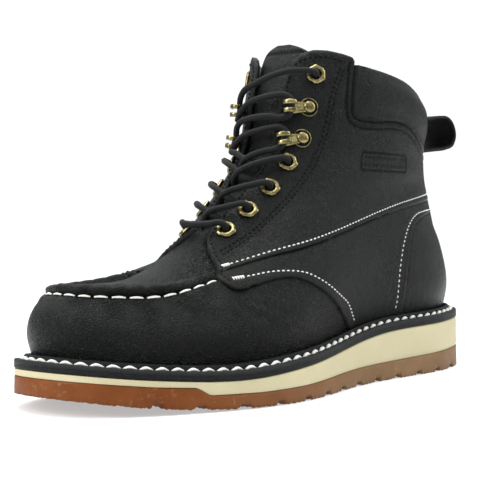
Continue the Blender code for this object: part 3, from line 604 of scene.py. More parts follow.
def build(name, vertices, faces, finishes, slot, replaces=(), picks=None, wear_and_highlight=None, dark=None, weld=0.0):
    """Named piece from millimetre vertices and faces; rides on the boot and replaces CAD nodes."""
    mesh = bpy.data.meshes.new(name)
    places = (np.asarray(vertices, float).reshape(-1, 3) + FRAME_SHIFT) * MM
    mesh.from_pydata(places.tolist(), [], [tuple(int(v) for v in f) for f in faces])
    for finish in finishes:
        mesh.materials.append(finish)
    if picks is not None:
        mesh.polygons.foreach_set("material_index", np.asarray(picks, np.int32))
    # attributes for the leather: edges lighter from wear and a painted highlight, and painted shade in gaps
    for key, values in (("wear_and_highlight", wear_and_highlight), ("dark", dark)):
        layer = mesh.attributes.new(key, "FLOAT", "POINT")
        if values is not None:
            layer.data.foreach_set("value", np.asarray(values, np.float32))
    shape = bmesh.new()
    shape.from_mesh(mesh)
    if weld:
        bmesh.ops.remove_doubles(shape, verts=shape.verts, dist=weld * MM)
    bmesh.ops.recalc_face_normals(shape, faces=shape.faces)
    if shape.calc_volume(signed=True) < 0:
        bmesh.ops.reverse_faces(shape, faces=shape.faces)
    shape.to_mesh(mesh)
    shape.free()
    mesh.polygons.foreach_set("use_smooth", [True] * len(mesh.polygons))
    made = bpy.data.objects.new(name, mesh)
    bpy.context.scene.collection.objects.link(made)
    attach(made, "root")
    if replaces:
        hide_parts(*replaces)


def grid_faces(rows, columns, start=0, closed=False, looped=False):
    """Quads of a grid of vertices; closed joins its last column to the first, looped its last row."""
    faces = []
    for r in range(rows if looped else rows - 1):
        for c in range(columns if closed else columns - 1):
            n = (c + 1) % columns
            a, b = start + r * columns, start + (r + 1) % rows * columns
            faces.append((a + c, a + n, b + n, b + c))
    return faces


def capped(rows, columns, start=0):
    """Faces of a tube with flat ends."""
    return grid_faces(rows, columns, start, closed=True) + [
        tuple(range(start + r * columns, start + (r + 1) * columns)) for r in (0, rows - 1)]


def joined(parts):
    """One list of vertices and one of faces from several parts."""
    vertices, faces = [], []
    for more, more_faces in parts:
        faces += [tuple(len(vertices) + v for v in face) for face in more_faces]
        vertices += list(more)
    return vertices, faces


def on_both_sides(kind, places):
    """Name, around and up of each piece of a kind."""
    for side, flip in (("outer", False), ("inner", True)):
        for number, (around, up) in enumerate(places):
            yield f"{kind}_{side}_{number + 1}", TURN - around if flip else around, up


# Height of the leather over the last

TRACKS = {name: Track(rows) for name, rows in (
    ("quarter", QUARTER_EDGE), ("shaft", SHAFT_EDGE), ("counter", COUNTER_EDGE), ("collar", COLLAR_SEAM),
    ("moc", MOC_LINE), ("facing", FACING_EDGE), ("top", TOP_EDGE), ("lower_stitch", LOWER_STITCH),
    ("upper_stitch", UPPER_STITCH), ("counter_stitch", COUNTER_STITCH), ("facing_stitch", FACING_STITCH),
)}


def zone(rows, corners):
    """Closed outline on the unrolled outer side: a panel line, then corners."""
    return smooth_line(rows, 1.5) + corners


LOW_FRONT = zone(QUARTER_EDGE, [(185.0, -0.05), (185.0, 0.640)])
LOW_BACK = zone(COUNTER_EDGE, [(-1.0, 0.475), (-1.0, -0.05), (61.0, -0.05)])
QUARTER_TOP = [p for p in zone(QUARTER_EDGE, []) if p[1] >= 0.492]
SHAFT_ZONE = zone(SHAFT_EDGE, [(-1.0, 0.527), (-1.0, 1.2), (185.0, 1.2), (185.0, 0.640)] + QUARTER_TOP[:-1])
COLLAR_ZONE = zone(COLLAR_SEAM, [(-1.0, 0.680), (-1.0, 1.2), (120.0, 1.2)])

MOC_PITCH = 8.0
# Plus on the toe plug's side of the moc line, minus on the vamp's
MOC_SIDE = float(np.sign(TRACKS["moc"].near(np.array([170.0]), np.array([0.360]))[1][0]))
RIDGE_HEIGHT = 3.3             # standing edge of the moc seam
COLLAR_PUFF = 1.9
COLLAR_GROOVE = 3.6            # from the collar's seam to its second groove
WAVINESS = 0.22
STITCH_DENTS = {"lower_stitch": 0.22, "upper_stitch": 0.22, "counter_stitch": 0.22, "facing_stitch": 0.18}

# Creases: start and end as around, up; width and depth in mm, minus for a raised fold
CREASES = [
    ((176, 0.300), (160, 0.285), 2.2, 0.35), ((168, 0.262), (150, 0.255), 2.6, 0.30),
    ((150, 0.300), (134, 0.262), 2.8, 0.40), ((143, 0.318), (131, 0.230), 2.4, 0.40),
    ((136, 0.318), (127, 0.215), 2.6, 0.45), ((131, 0.322), (121, 0.200), 2.8, 0.45),
    ((126, 0.300), (113, 0.175), 3.0, 0.40), ((120, 0.290), (106, 0.180), 3.0, 0.35),
    ((140, 0.285), (120, 0.250), 4.0, -0.35), ((165, 0.225), (140, 0.205), 5.0, 0.30),
    ((176, 0.455), (150, 0.450), 5.0, 0.45), ((174, 0.510), (148, 0.480), 6.0, -0.40),
    ((175, 0.560), (152, 0.520), 5.0, 0.45),
    ((130, 0.640), (96, 0.590), 9.0, 0.4), ((126, 0.690), (88, 0.660), 9.0, -0.3),
    ((124, 0.745), (84, 0.725), 8.0, 0.25), ((96, 0.575), (40, 0.590), 9.0, 0.3),
    ((90, 0.640), (30, 0.640), 10.0, -0.25), ((118, 0.420), (92, 0.400), 8.0, 0.25),
]


def crease_lift(places):
    """Height that the creases take away or add at places."""
    total = np.zeros(len(places))
    for start, end, width, depth in CREASES:
        for a, b in ((start, end), mirrored((start, end))):
            path = last(np.linspace(a[0], b[0], 14), np.linspace(a[1], b[1], 14))
            best = np.full(len(places), 1e9)
            share = np.zeros(len(places))
            for k, (p, q) in enumerate(zip(path[:-1], path[1:])):
                run = q - p
                t = np.clip(((places - p) @ run) / (run @ run), 0, 1)
                gap = np.linalg.norm(places - (p + t[:, None] * run), axis=1)
                closer = gap < best
                best = np.where(closer, gap, best)
                share = np.where(closer, (k + t) / 13, share)
            fade = np.sin(np.pi * np.clip(share, 0.02, 0.98)) ** 0.7
            total -= depth * fade * bell(best, width * 0.6)
    return total


def moc_ridge(around, up, low, edge, across, pull):
    """The moc seam's standing ridge, dented where each long stitch pulls it."""
    crest = RIDGE_HEIGHT * ramp(across, -3.0, -1.7) * (1 - ramp(across, 0.6, 3.8))
    far = ramp(around, 179, 191)
    under = np.where(low, 0.45 + 0.55 * ramp(edge, 0, 6), 0.45 * (1 - ramp(edge, 0, 4)))
    lift = crest * (1 - 0.20 * pull) * (1 - 0.55 * far) * under
    lift -= 2.4 * far * (1 - ramp(around, 222, 236)) * ramp(across, 0.5, 5.0) * (1 - ramp(up, 0.47, 0.56))
    lift -= 0.45 * bell(across + 3.8, 1.0)
    lift += 0.30 * (1 - pull) * bell(across + 6.0, 1.4)
    return lift - 0.35 * pull * bell(across - 4.2, 1.6)


def leather_lift(around, up):
    """Height of the outer face over the last, puff of the collar, edge wear with a painted highlight, and
    painted shade, for flat arrays.
    """
    folded = np.where(around <= TURN / 2, around, TURN - around)
    places = last(around, up)
    low = inside(LOW_FRONT, folded, up) | inside(LOW_BACK, folded, up)
    on_shaft = inside(SHAFT_ZONE, folded, up)
    in_collar = inside(COLLAR_ZONE, folded, up)
    near = {name: track.near(around, up) for name, track in TRACKS.items()}
    quarter, shaft, collar, top = (near[name][0] for name in ("quarter", "shaft", "collar", "top"))
    edge = np.minimum(quarter, near["counter"][0])
    rim = np.minimum(near["facing"][0], top)
    across = near["moc"][1] * MOC_SIDE
    pull = (0.5 + 0.5 * np.cos(2 * np.pi * near["moc"][2] / MOC_PITCH)) ** 3

    lift = PANEL_STEP * np.where(low, 0.0, ramp(edge, -0.1, 0.55))
    shaft_edge = np.minimum(shaft, np.where(up > 0.487, quarter, 99.0))
    lift += SHAFT_STEP * np.where(on_shaft, ramp(shaft_edge, -0.1, 0.55), 0.0)
    # leather pulls in along stitches and under a panel's edge
    for name, depth in STITCH_DENTS.items():
        lift += depth * (0.35 * bell(near[name][0] - 2.4, 1.0) - bell(near[name][0], 0.9))
    lift -= 0.45 * np.where(low, bell(edge, 0.9), 0)
    lift += 0.30 * np.where(low, 0, bell(edge - 1.1, 0.9))
    lift -= 0.30 * np.where(on_shaft | low, 0, bell(shaft, 0.8))
    lift += moc_ridge(around, up, low, edge, across, pull)
    # padded collar inside a double groove
    puff = np.where(in_collar, ramp(collar, 1.0, 14.0), 0.0) * ramp(top, -1.0, 9.0)
    lift += COLLAR_PUFF * puff - 0.75 * bell(collar, 0.75) + 0.35 * bell(collar - 1.8, 0.9)
    lift -= 0.45 * np.where(in_collar, 0, bell(collar - COLLAR_GROOVE, 0.6))
    # free edges are rounded over
    lift -= 0.55 * (1 - ramp(rim, -0.2, 1.0))
    # creases and the leather's own waviness
    lift += crease_lift(places) * np.where(collar < 3, 0.3, 1.0)
    lift += WAVINESS * np.array([noise.noise(Vector(p) * 0.035) + 0.5 * noise.noise(Vector(p) * 0.09)
                                 for p in places])
    pressed = stamp(around, up)
    lift -= 0.3 * pressed

    # lighter panel edges, facings, top line and moc ridge crest: rubbed wear and a painted highlight; a
    # random rubbed patch on the vamp beside the moc seam
    rubbed = np.array([noise.noise(Vector(p) * 0.11 + Vector((5, 0, 0))) for p in places])
    wear_and_highlight = np.maximum.reduce([
        0.55 * bell(edge, 0.7) * ~low,
        0.5 * bell(shaft, 0.7) * on_shaft,
        0.45 * bell(rim, 0.8),
        0.35 * bell(across - 0.2, 1.2),
        np.clip(0.25 + 1.1 * rubbed, 0, 0.8) * np.where(across < 0, bell(across, 16), 0) * low,
    ])
    # painted shade: darker, duller leather in the gaps under panel edges, in the groove beside the moc ridge
    # and in the collar's grooves; the pressed stamp is darkened too
    dark = np.maximum.reduce([
        np.where(low, bell(edge, 0.75), 0),
        np.where(on_shaft | low, 0, bell(shaft, 0.7)),
        bell(across + 3.4, 0.8),
        0.8 * bell(collar, 0.8),
        0.7 * np.where(in_collar, 0, bell(collar - COLLAR_GROOVE, 0.7)),
        0.75 * pressed,
    ])
    return lift, puff, wear_and_highlight, dark


# Plain pressed stamp on the outer side: corners as around, up; corner radius and bars in mm
STAMP = np.array([(104.0, 0.731), (68.5, 0.711), (64.3, 0.638), (97.3, 0.666)])
STAMP_CORNER = 2.0
STAMP_BARS = (2.0, -2.0)
STAMP_MIDDLE = STAMP.mean(0)
STAMP_LONG = (STAMP[0] - STAMP[1] + STAMP[3] - STAMP[2]) / 4
STAMP_TALL = (STAMP[0] - STAMP[3] + STAMP[1] - STAMP[2]) / 4
STAMP_HALF = [float(np.linalg.norm(last(*(STAMP_MIDDLE + way)) - last(*(STAMP_MIDDLE - way)))) / 2
              for way in (STAMP_LONG, STAMP_TALL)]
STAMP_MAP = np.stack([STAMP_LONG / STAMP_HALF[0], STAMP_TALL / STAMP_HALF[1]], 1)
STAMP_REACH = STAMP_HALF[0] - 3.0


def stamp_rows(rows):
    """Places as around, up of points given in mm from the stamp's middle."""
    return [tuple(STAMP_MIDDLE + STAMP_MAP @ np.array(row)) for row in rows]


def stamp_ring(offset):
    """Rounded frame of the plain stamp on the outer side, grown by an offset in mm."""
    rows = []
    for k, (sx, sy) in enumerate(((1, 1), (-1, 1), (-1, -1), (1, -1))):
        for turn in np.linspace(0, 90, 5):
            angle = math.radians(turn + 90 * k)
            reach = STAMP_CORNER + offset
            rows.append((sx * (STAMP_HALF[0] - STAMP_CORNER) + reach * math.cos(angle),
                         sy * (STAMP_HALF[1] - STAMP_CORNER) + reach * math.sin(angle)))
    dense = []
    for start, end in zip(rows, rows[1:] + rows[:1]):
        steps = max(1, int(math.dist(start, end) / 1.1))
        dense += [(start[0] + (end[0] - start[0]) * k / steps, start[1] + (end[1] - start[1]) * k / steps)
                  for k in range(steps)]
    return stamp_rows(dense)


def stamp_bars():
    """Mesh lines along the stamp's two bars."""
    return [stamp_rows([(x, y) for x in np.linspace(-STAMP_REACH, STAMP_REACH, 30)])
            for bar in STAMP_BARS for y in (bar - 0.9, bar, bar + 0.9)]


def stamp(around, up):
    """Depth share of the plain stamp: a rounded frame round two bars."""
    spot = np.stack([around, up], -1) - STAMP_MIDDLE
    x, y = (spot @ np.linalg.inv(STAMP_MAP).T).T
    a = np.abs(x) - STAMP_HALF[0] + STAMP_CORNER
    b = np.abs(y) - STAMP_HALF[1] + STAMP_CORNER
    distance = np.hypot(np.maximum(a, 0), np.maximum(b, 0)) + np.minimum(np.maximum(a, b), 0) - STAMP_CORNER
    share = bell(distance, 0.6)
    dashes = (0.6 + 0.4 * np.cos(2 * np.pi * x / 2.2)) * (1 - ramp(np.abs(x), STAMP_REACH, STAMP_REACH + 1))
    for bar in STAMP_BARS:
        share = np.maximum(share, dashes * bell(y - bar, 0.8))
    return share


def hole_ring(around, up, radius, count=16):
    """Round line of mesh points on the surface."""
    normal, d_around, _ = last_frame(around, up)
    first = unit(d_around)
    second = np.cross(normal, first)
    turns = np.linspace(0, 2 * np.pi, count, endpoint=False)
    return [moved(around, up, radius * (math.cos(t) * first + math.sin(t) * second)) for t in turns]


def pattern_outline():
    """Outline of the upper's pattern: floor line, back, top lines, facings and throat."""
    spacing = 1.7
    floor = straight_line([(float(a), FEATHER_UP) for a in np.linspace(0, TURN, 121)], spacing)
    back = straight_line([(TURN, FEATHER_UP), (TURN, 1.0)], 1.4)
    top = straight_line(TOP_EDGE, spacing)
    facing = smooth_line(FACING_EDGE, spacing)
    throat = straight_line([(TURN - 173.5, 0.640), (180.0, 0.632), (173.5, 0.640)], spacing)
    outline = floor + back[1:] + mirrored(top)[::-1][1:] + mirrored(facing)[::-1][1:] + throat[1:]
    outline += facing[1:] + top[1:]
    return outline + [(0.0, u) for _, u in back[::-1][1:-1]]


# Mesh lines beside the panel lines and along the moc seam, as offsets in mm
PANEL_OFFSETS = (
    (QUARTER_EDGE, (0.0, -0.5, 0.5)), (SHAFT_EDGE, (0.0, -0.5, 0.5)), (COUNTER_EDGE, (0.0, 0.5, -0.5)),
    (COLLAR_SEAM, (0.0, 0.9, -0.9, -3.6, -2.8)),
)
MOC_OFFSETS = (5.2, 4.4, 3.6, 2.9, 2.2, 1.4, 0.4, -0.6, -1.6, -2.6, -3.8)
STAMP_OFFSETS = (-1.1, 0.0, 1.1)
MESH_STEP_UP = 0.0088
MESH_STEP = 1.9
PATTERN_STRETCH = 150.0        # degrees and up brought to one scale


def moc_line(spacing):
    """The moc seam from one side round the toe to the other."""
    return smooth_line(MOC_LINE[::-1] + mirrored(MOC_LINE)[1:], spacing)


def drawn_lines(outline):
    """Points and edges that the upper's mesh follows, and its eyelet holes."""
    points = list(outline)
    edges = [(k, (k + 1) % len(outline)) for k in range(len(outline))]

    def add(rows, closed=False):
        start = len(points)
        points.extend(rows)
        edges.extend((start + k, start + k + 1) for k in range(len(rows) - 1))
        if closed:
            edges.append((start + len(rows) - 1, start))

    for rows, offsets in PANEL_OFFSETS:
        for offset in offsets:
            for side, sign in ((rows, 1), (mirrored(rows), -1)):
                fine = smooth_line(side, 1.6)
                add(shifted(fine, sign * offset) if offset else fine)
    moc = moc_line(1.3)
    for offset in MOC_OFFSETS:
        add(shifted(moc, offset))
    for offset in STAMP_OFFSETS:
        add(stamp_ring(offset), closed=True)
    for row in stamp_bars():
        add(row)
    holes = []
    for eyelet in EYELETS:
        for around, up in [eyelet] + mirrored([eyelet]):
            holes.append(hole_ring(around, up, EYELET_HOLE))
            add(holes[-1], closed=True)
    return points, edges, holes


def filling(outline, points):
    """Even places inside the outline, clear of the points that are there."""
    taken = kdtree.KDTree(len(points))
    for k, (a, u) in enumerate(points):
        taken.insert(last(a, u), k)
    taken.balance()
    extra = []
    for row, up in enumerate(np.arange(FEATHER_UP + 0.008, 1.03, MESH_STEP_UP)):
        ring = np.linspace(0, TURN, 1441)
        run = run_length(last(ring, np.full(1441, up)))
        count = int(run[-1] / MESH_STEP)
        at = np.interp((np.arange(count) + (0.5 if row % 2 else 0.0)) * run[-1] / count, run, ring)
        extra += [(a, up) for a in at if 0.2 < a < TURN - 0.2]
    extra = np.array(extra)
    extra = extra[inside(outline, extra[:, 0], extra[:, 1])]
    free = [taken.find(place)[2] > 0.8 for place in last(extra[:, 0], extra[:, 1])]
    return [tuple(place) for place in extra[free]]


def upper():
    """The whole leather upper: outer face, lining and the cut edges between them."""
    outline = pattern_outline()
    points, edges, holes = drawn_lines(outline)
    points += filling(outline, points)
    flat = [Vector((a, u * PATTERN_STRETCH)) for a, u in points]
    found, _, triangles, _, _, _ = delaunay_2d_cdt(flat, edges, [], 0, 1e-6)
    spots = np.array([(p.x, p.y / PATTERN_STRETCH) for p in found])
    triangles = np.array(triangles)
    centres = spots[triangles].mean(1)
    keep = inside(outline, centres[:, 0], centres[:, 1])
    for ring in holes:
        keep &= ~inside(ring, centres[:, 0], centres[:, 1])
    triangles, centres = triangles[keep], centres[keep]

    around, up = spots.T
    lift, puff, wear_and_highlight, dark = leather_lift(around, up)
    across = TRACKS["moc"].near(around, up)[1] * MOC_SIDE
    ridge = ramp(across, -3.1, -1.0) * (1 - ramp(across, 1.0, 3.6))
    outer = skin(around, up, lift)
    inner = skin(around, up, -LINING_DEPTH + 1.0 * ridge - 1.6 * puff + np.minimum(0.0, lift))
    count = len(spots)
    faces = [tuple(t) for t in triangles] + [tuple(t[::-1] + count) for t in triangles]
    folded = np.minimum(centres[:, 0], TURN - centres[:, 0])
    picks = [int(vamp) for vamp in inside(LOW_FRONT, folded, centres[:, 1])] + [2] * len(triangles)
    uses = {}
    for t in triangles:
        for a, b in ((t[0], t[1]), (t[1], t[2]), (t[2], t[0])):
            key = (min(a, b), max(a, b))
            uses[key] = uses.get(key, 0) + 1
    at_back = np.minimum(around, TURN - around) < 1e-4
    for (a, b), times in uses.items():
        if times == 1 and not (at_back[a] and at_back[b]):
            faces.append((a, b, b + count, a + count))
            picks.append(0)
    build("boot_upper", np.concatenate([outer, inner]), faces, [SMOOTH, GRAINED, LINING], "black_leather",
          ["upper"], picks, np.concatenate([wear_and_highlight, wear_and_highlight * 0]), np.concatenate([dark, dark * 0]), weld=0.005)


def stitch_row(name, starts, ends, normals, radius, rise, finish, slot, flatten=1.0):
    """Row of short bowed threads, each from a start to an end place on the leather."""
    rings, sides, sink = 6, 7, 0.35
    parts = []
    for start, end, normal in zip(starts, ends, normals):
        run = end - start
        side = unit(np.cross(normal, run))
        vertices = []
        for t in np.linspace(0, 1, rings):
            bow = math.sin(math.pi * t)
            swell = radius * (0.45 + 0.55 * math.sin(math.pi * min(max(t, 0.08), 0.92)) ** 0.6)
            centre = start + run * t + normal * (rise * bow - sink * (1 - bow))
            for k in range(sides):
                turn = 2 * math.pi * k / sides
                vertices.append(centre + swell * (math.cos(turn) * side + flatten * math.sin(turn) * normal))
        parts.append((vertices, capped(rings, sides)))
    build(name, *joined(parts), [finish], slot)


def stitch_places(line_points, pitch, length):
    """Starts and ends, as (around, up) rows, of even stitches along a line."""
    fine = np.array(line_points)
    run = run_length(last(fine[:, 0], fine[:, 1]))
    number = int(run[-1] / pitch)
    middle = (np.arange(number) + 0.5) * run[-1] / number
    return [np.stack([np.interp(at, run, column) for column in fine.T], 1)
            for at in (middle - length / 2, middle + length / 2)]


def sewn(name, starts, ends, lift, *looks, **shape):
    """Stitches between places on the upper's outer face, raised by a lift."""
    spots = np.concatenate([starts, ends])
    around, up = spots.T
    places = skin(around, up, leather_lift(around, up)[0] + lift)
    normal = last_frame(around, up)[0]
    half = len(starts)
    stitch_row(name, places[:half], places[half:], unit(normal[:half] + normal[half:]), *looks,
               "black_leather", **shape)


def seam(name, rows, pitch, length, radius, finish):
    """Machine stitching along a line on the upper, on both sides."""
    sides = [stitch_places(smooth_line(side, 0.5), pitch, length) for side in (rows, mirrored(rows))]
    starts, ends = (np.concatenate(both) for both in zip(*sides))
    sewn(name, starts, ends, 0.0, radius, 0.25, finish)


def bartack(name, start, end):
    """Close cross stitches where a seam ends, on both sides."""
    starts, ends, normals = [], [], []
    for a, b in ((start, end), mirrored((start, end))):
        p, q = last(*a), last(*b)
        normal = last_frame(*a)[0]
        side = unit(np.cross(normal, q - p))
        lift = leather_lift(np.array([a[0]]), np.array([a[1]]))[0][0] + 0.1
        for share in np.linspace(0, 1, 5):
            middle = p + (q - p) * share + normal * lift
            starts.append(middle - side * 1.2)
            ends.append(middle + side * 1.2)
            normals.append(normal)
    stitch_row(name, starts, ends, normals, 0.45, 0.3, WHITE, "black_leather")


def moc_stitches():
    """Long hand stitches along the vamp's side of the moc ridge."""
    starts, ends = stitch_places(shifted(moc_line(0.5)[::2], 3.7), MOC_PITCH, 6.2)
    sewn("moc_stitches", starts, ends, 0.5, 0.58, 0.15, WHITE, flatten=0.8)


def sole_plan(around, inset=0.0):
    """Plan of the sole's outline, drawn in by an inset."""
    widths = [w - inset for w in SOLE_HALF_WIDTHS]
    half = SOLE_HALF - inset
    x, y = ring_plan(around, -half, half, SOLE_SHARES, widths, SOLE_END_RADII)[:2]
    return x, y + swing(x)


def even_ring(count):
    """Stations evenly spaced along the sole's outline."""
    fine = np.linspace(0, TURN, 2881)
    x, y = sole_plan(fine)
    run = run_length(np.stack([x, y], 1))
    return np.interp(np.arange(count) / count * run[-1], run, fine), run[-1]


# Share of the way from the sole's edge to the upper, height over the midsole
WELT_SECTION = [
    (0.015, 0.30), (0.0, 0.7), (0.0, 1.9), (0.012, 2.15), (0.0, 2.4), (0.0, 3.5), (0.02, 4.2), (0.07, 4.65),
    (0.16, 4.75), (0.34, 4.65), (0.41, 4.25), (0.50, 4.1), (0.57, 4.4), (0.62, 5.1), (0.70, 6.3),
    (0.80, 7.1), (0.90, 7.2), (0.97, 6.6), (1.0, 5.6), (1.0, 0.3),
]
WELT_CLEARANCE = 0.9
WELT_CREST_UP = 0.035
WELT_STITCH_PITCH = 7.7
WELT_STITCH_SHARE = 0.47       # where the stitches lie on the way from edge to upper
WELT_STITCH_HEIGHT = 4.12


def welt_point(around, share, height):
    """Point of the welt at a share of the way from the sole's edge to the upper."""
    sole_x, sole_y = sole_plan(around)
    blend = ramp(np.full(len(around), height), 4.3, 6.0)[:, None]
    clear = np.full(len(around), WELT_CLEARANCE)
    inner = skin(around, 0.0, clear) * (1 - blend) + skin(around, WELT_CREST_UP, clear) * blend
    x = sole_x + (inner[:, 0] - sole_x) * share
    y = sole_y + (inner[:, 1] - sole_y) * share
    z = curve_1(MIDSOLE_TOP, np.clip(x, -SOLE_HALF, SOLE_HALF)) + height
    return np.stack([x, y, z], -1)


def welt():
    """Storm welt and its row of stitches, which dent it."""
    count = 420
    around, length = even_ring(count)
    stitches = int(length / WELT_STITCH_PITCH)
    phase = np.cos(2 * np.pi * np.arange(count) / count * stitches)
    rows, wear_and_highlight = [], []
    for share, height in WELT_SECTION:
        row = welt_point(around, share, height)
        row[:, 2] += 0.22 * phase * (bell(share - WELT_STITCH_SHARE, 0.10) if height > 3 else 0.0)
        rows.append(row)
        # the welt's outer top lip is lighter: rubbed wear and a painted highlight
        wear_and_highlight.append(np.full(count, 0.55 if 3.5 <= height <= 4.65 and share < 0.1 else 0.1))
    faces = grid_faces(len(rows), count, closed=True, looped=True)
    build("welt", np.concatenate(rows), faces, [WELT], "welt_black", ["welt"], wear_and_highlight=np.concatenate(wear_and_highlight))

    per_stitch = 20
    fine, _ = even_ring(stitches * per_stitch)
    spots = welt_point(fine, WELT_STITCH_SHARE, WELT_STITCH_HEIGHT)
    side = unit(welt_point(fine, 0.40, WELT_STITCH_HEIGHT) - spots)
    index = np.arange(stitches) * per_stitch
    raised = (0.0, 0.0, 0.5)
    starts = (spots - side * 0.55)[(index + 2) % len(fine)] + raised
    ends = (spots + side * 0.55)[(index + 18) % len(fine)] + raised
    normals = np.tile([0.0, 0.0, 1.0], (stitches, 1)) + side[index] * 0.25
    stitch_row("welt_stitches", starts, ends, unit(normals), 1.05, 0.8, WHITE, "welt_black", flatten=0.75)


def wall(name, rows, finish, slot, node):
    """Closed slab from rings of points, bottom to top, with its faces capped."""
    count = len(rows[0])
    faces = grid_faces(len(rows), count, closed=True)
    for r in (0, len(rows) - 1):
        for k in range(count // 2 - 1):
            a, b = k, k + 1
            c, d = (count - k - 1) % count, (count - k) % count
            ring = (a, b, c, d) if k else (a, b, c)
            faces.append(tuple(r * count + v for v in ring))
    build(name, np.concatenate(rows), faces, [finish], slot, [node])


# Insets from the sole's outline and shares of the midsole's height, bottom to top
MIDSOLE_EDGE = (
    (0.5, 0.0), (0.15, 0.04), (0.0, 0.15), (0.12, 0.4), (0.2, 0.6), (0.1, 0.85), (0.25, 0.95), (0.7, 1.0),
)


def midsole():
    """Cream wedge between the gum and the welt."""
    around, _ = even_ring(420)
    rows = []
    for inset, share in MIDSOLE_EDGE:
        x, y = sole_plan(around, inset)
        low = line(GUM_TOP, x) + 0.15
        rows.append(np.stack([x, y, low + (curve_1(MIDSOLE_TOP, x) - low) * share], -1))
    wall("midsole", rows, CREAM, "cream_foam", "midsole")


GROOVE_FIRST = -118.0
GROOVE_PITCH = 19.6
GROOVES = 13
GROOVE_DEPTH = 2.2


def tread_height(x, y):
    """Height of the tread over the floor: cross grooves, and small teeth between them."""
    base = np.maximum(curve_1(TOE_SPRING, x), 0.0)
    bend = x + 2.2 * np.sin(y / 9.0)
    phase = (bend - GROOVE_FIRST + GROOVE_PITCH / 2) % GROOVE_PITCH - GROOVE_PITCH / 2
    within = (bend > GROOVE_FIRST - 8) & (bend < GROOVE_FIRST + GROOVES * GROOVE_PITCH - 10)
    groove = GROOVE_DEPTH * (1 - ramp(np.abs(phase), 2.2, 3.2)) * within
    teeth = 0.55 * (0.5 + 0.5 * np.sin(2 * np.pi * x / 3.3 + 1.7 * np.sin(x / 11.0))) ** 1.5
    rough = np.array([noise.noise(Vector((a * 0.55, b * 0.55, 3.0))) for a, b in zip(x, y)])
    crumbs = np.array([noise.noise(Vector((a * 1.3, b * 1.3, 9.0))) for a, b in zip(x, y)])
    uneven = teeth + 0.9 * np.maximum(rough, 0) + 0.8 * np.maximum(crumbs, 0)
    return base + groove + uneven * (1 - groove / 3.0)


def outsole():
    """Gum outsole with its bumper and the cut edge of the tread."""
    count = 1200
    around, _ = even_ring(count)
    rows = []
    for inset in (26.0, 14.0, 7.0, 3.0, 1.4, 0.5, 0.0):
        x, y = sole_plan(around, inset)
        rows.append(np.stack([x, y, tread_height(x, y) + (0.25 if inset < 0.4 else 0.0)], -1))
    x, y = sole_plan(around, 0.0)
    floor = tread_height(x, y) + 0.4
    top = line(GUM_TOP, x)
    for inset, share in ((0.0, 0.3), (0.15, 0.7), (0.1, 0.93), (0.5, 1.0)):
        x, y = sole_plan(around, inset)
        rows.append(np.stack([x, y, floor + (top - floor) * share], -1))
    wall("outsole", rows, GUM, "gum_rubber", "outsole")


def insole():
    """Cloth-covered footbed."""
    around = np.linspace(0, TURN, 181)[:-1]
    normal = last_frame(around, FEATHER_UP)[0]
    flat = unit(normal * (1, 1, 0))
    rows = []
    for inset, rise in ((0.0, 0.3), (0.0, 5.8), (0.8, 7.0), (2.5, 7.5), (12.0, 7.4), (24.0, 7.2)):
        point = last(around, FEATHER_UP) - flat * (LINING_DEPTH + 1.2 + inset)
        z = curve_1(MIDSOLE_TOP, np.clip(point[:, 0], -SOLE_HALF, SOLE_HALF)) + rise
        rows.append(np.stack([point[:, 0], point[:, 1], z], -1))
    wall("footbed", rows, FOOTBED, "footbed_lining", "insole")


def sheet(name, around, up, outer, inner, wear_and_highlight):
    """Closed sheet over a grid of the last, between two lifts."""
    rows, columns = around.shape
    top = skin(around, up, outer).reshape(-1, 3)
    under = skin(around, up, inner).reshape(-1, 3)
    size = rows * columns
    faces = grid_faces(rows, columns) + [tuple(size + v for v in f[::-1]) for f in grid_faces(rows, columns)]
    border = [(0, c) for c in range(columns)] + [(r, columns - 1) for r in range(1, rows)]
    border += [(rows - 1, c) for c in range(columns - 2, -1, -1)] + [(r, 0) for r in range(rows - 2, 0, -1)]
    border = [r * columns + c for r, c in border]
    faces += [(a, b, size + b, size + a) for a, b in zip(border, border[1:] + border[:1])]
    build(name, np.concatenate([top, under]), faces, [SMOOTH], "black_leather", [name],
          wear_and_highlight=np.tile(wear_and_highlight.ravel(), 2))


TONGUE_ROWS = [
    (0.585, 24), (0.62, 27), (0.66, 29), (0.71, 30), (0.76, 31), (0.82, 33), (0.88, 35),
    (0.94, 37), (0.99, 36.5), (1.025, 32), (1.05, 24), (1.066, 14), (1.072, 8),
]
TONGUE_LOW, TONGUE_TOP = TONGUE_ROWS[0][0], TONGUE_ROWS[-1][0]
TONGUE_THICKNESS = 3.0


def tongue():
    """Padded tongue: a crowned sheet, quilted by a seam round its edge."""
    keys = np.array(TONGUE_ROWS, float)
    up = np.linspace(TONGUE_LOW, TONGUE_TOP, 150)
    spread = hermite(keys[:, 0], keys[:, 1:], up)[:, 0]
    share = np.linspace(-1, 1, 71)
    around = 180 + spread[:, None] * share[None, :]
    rows = np.broadcast_to(up[:, None], around.shape)
    lean = np.interp(up, [0.9, 1.06], [0.0, 3.0])[:, None]
    edge = np.minimum(spread[:, None] * (1 - np.abs(share)) * 0.9, ((TONGUE_TOP - up) * 150)[:, None])
    plump = 0.9 * ramp(edge, 0.0, 3.0) - 0.9 - 0.45 * bell(edge - 4.5, 0.8) + 0.55 * ramp(edge, 4.5, 11.0)
    folds = [noise.noise(Vector((a * 0.06, u * 26.0, 0.0))) for a, u in zip(around.ravel(), rows.ravel())]
    plump += 0.35 * np.array(folds).reshape(around.shape) * ramp(edge, 3.0, 9.0)
    outer = -TONGUE_DEPTH - lean + plump
    inner = -TONGUE_DEPTH - TONGUE_THICKNESS - lean - 0.5 * plump
    # lighter edges: rubbed wear and a painted highlight
    sheet("tongue", around, rows, outer, inner, 0.35 * bell(edge, 1.4))


BACKSTAY_LOW, BACKSTAY_TOP = 0.06, 0.745
BACKSTAY_THICKNESS = 1.3
BACKSTAY_STITCH_INSET = 2.4


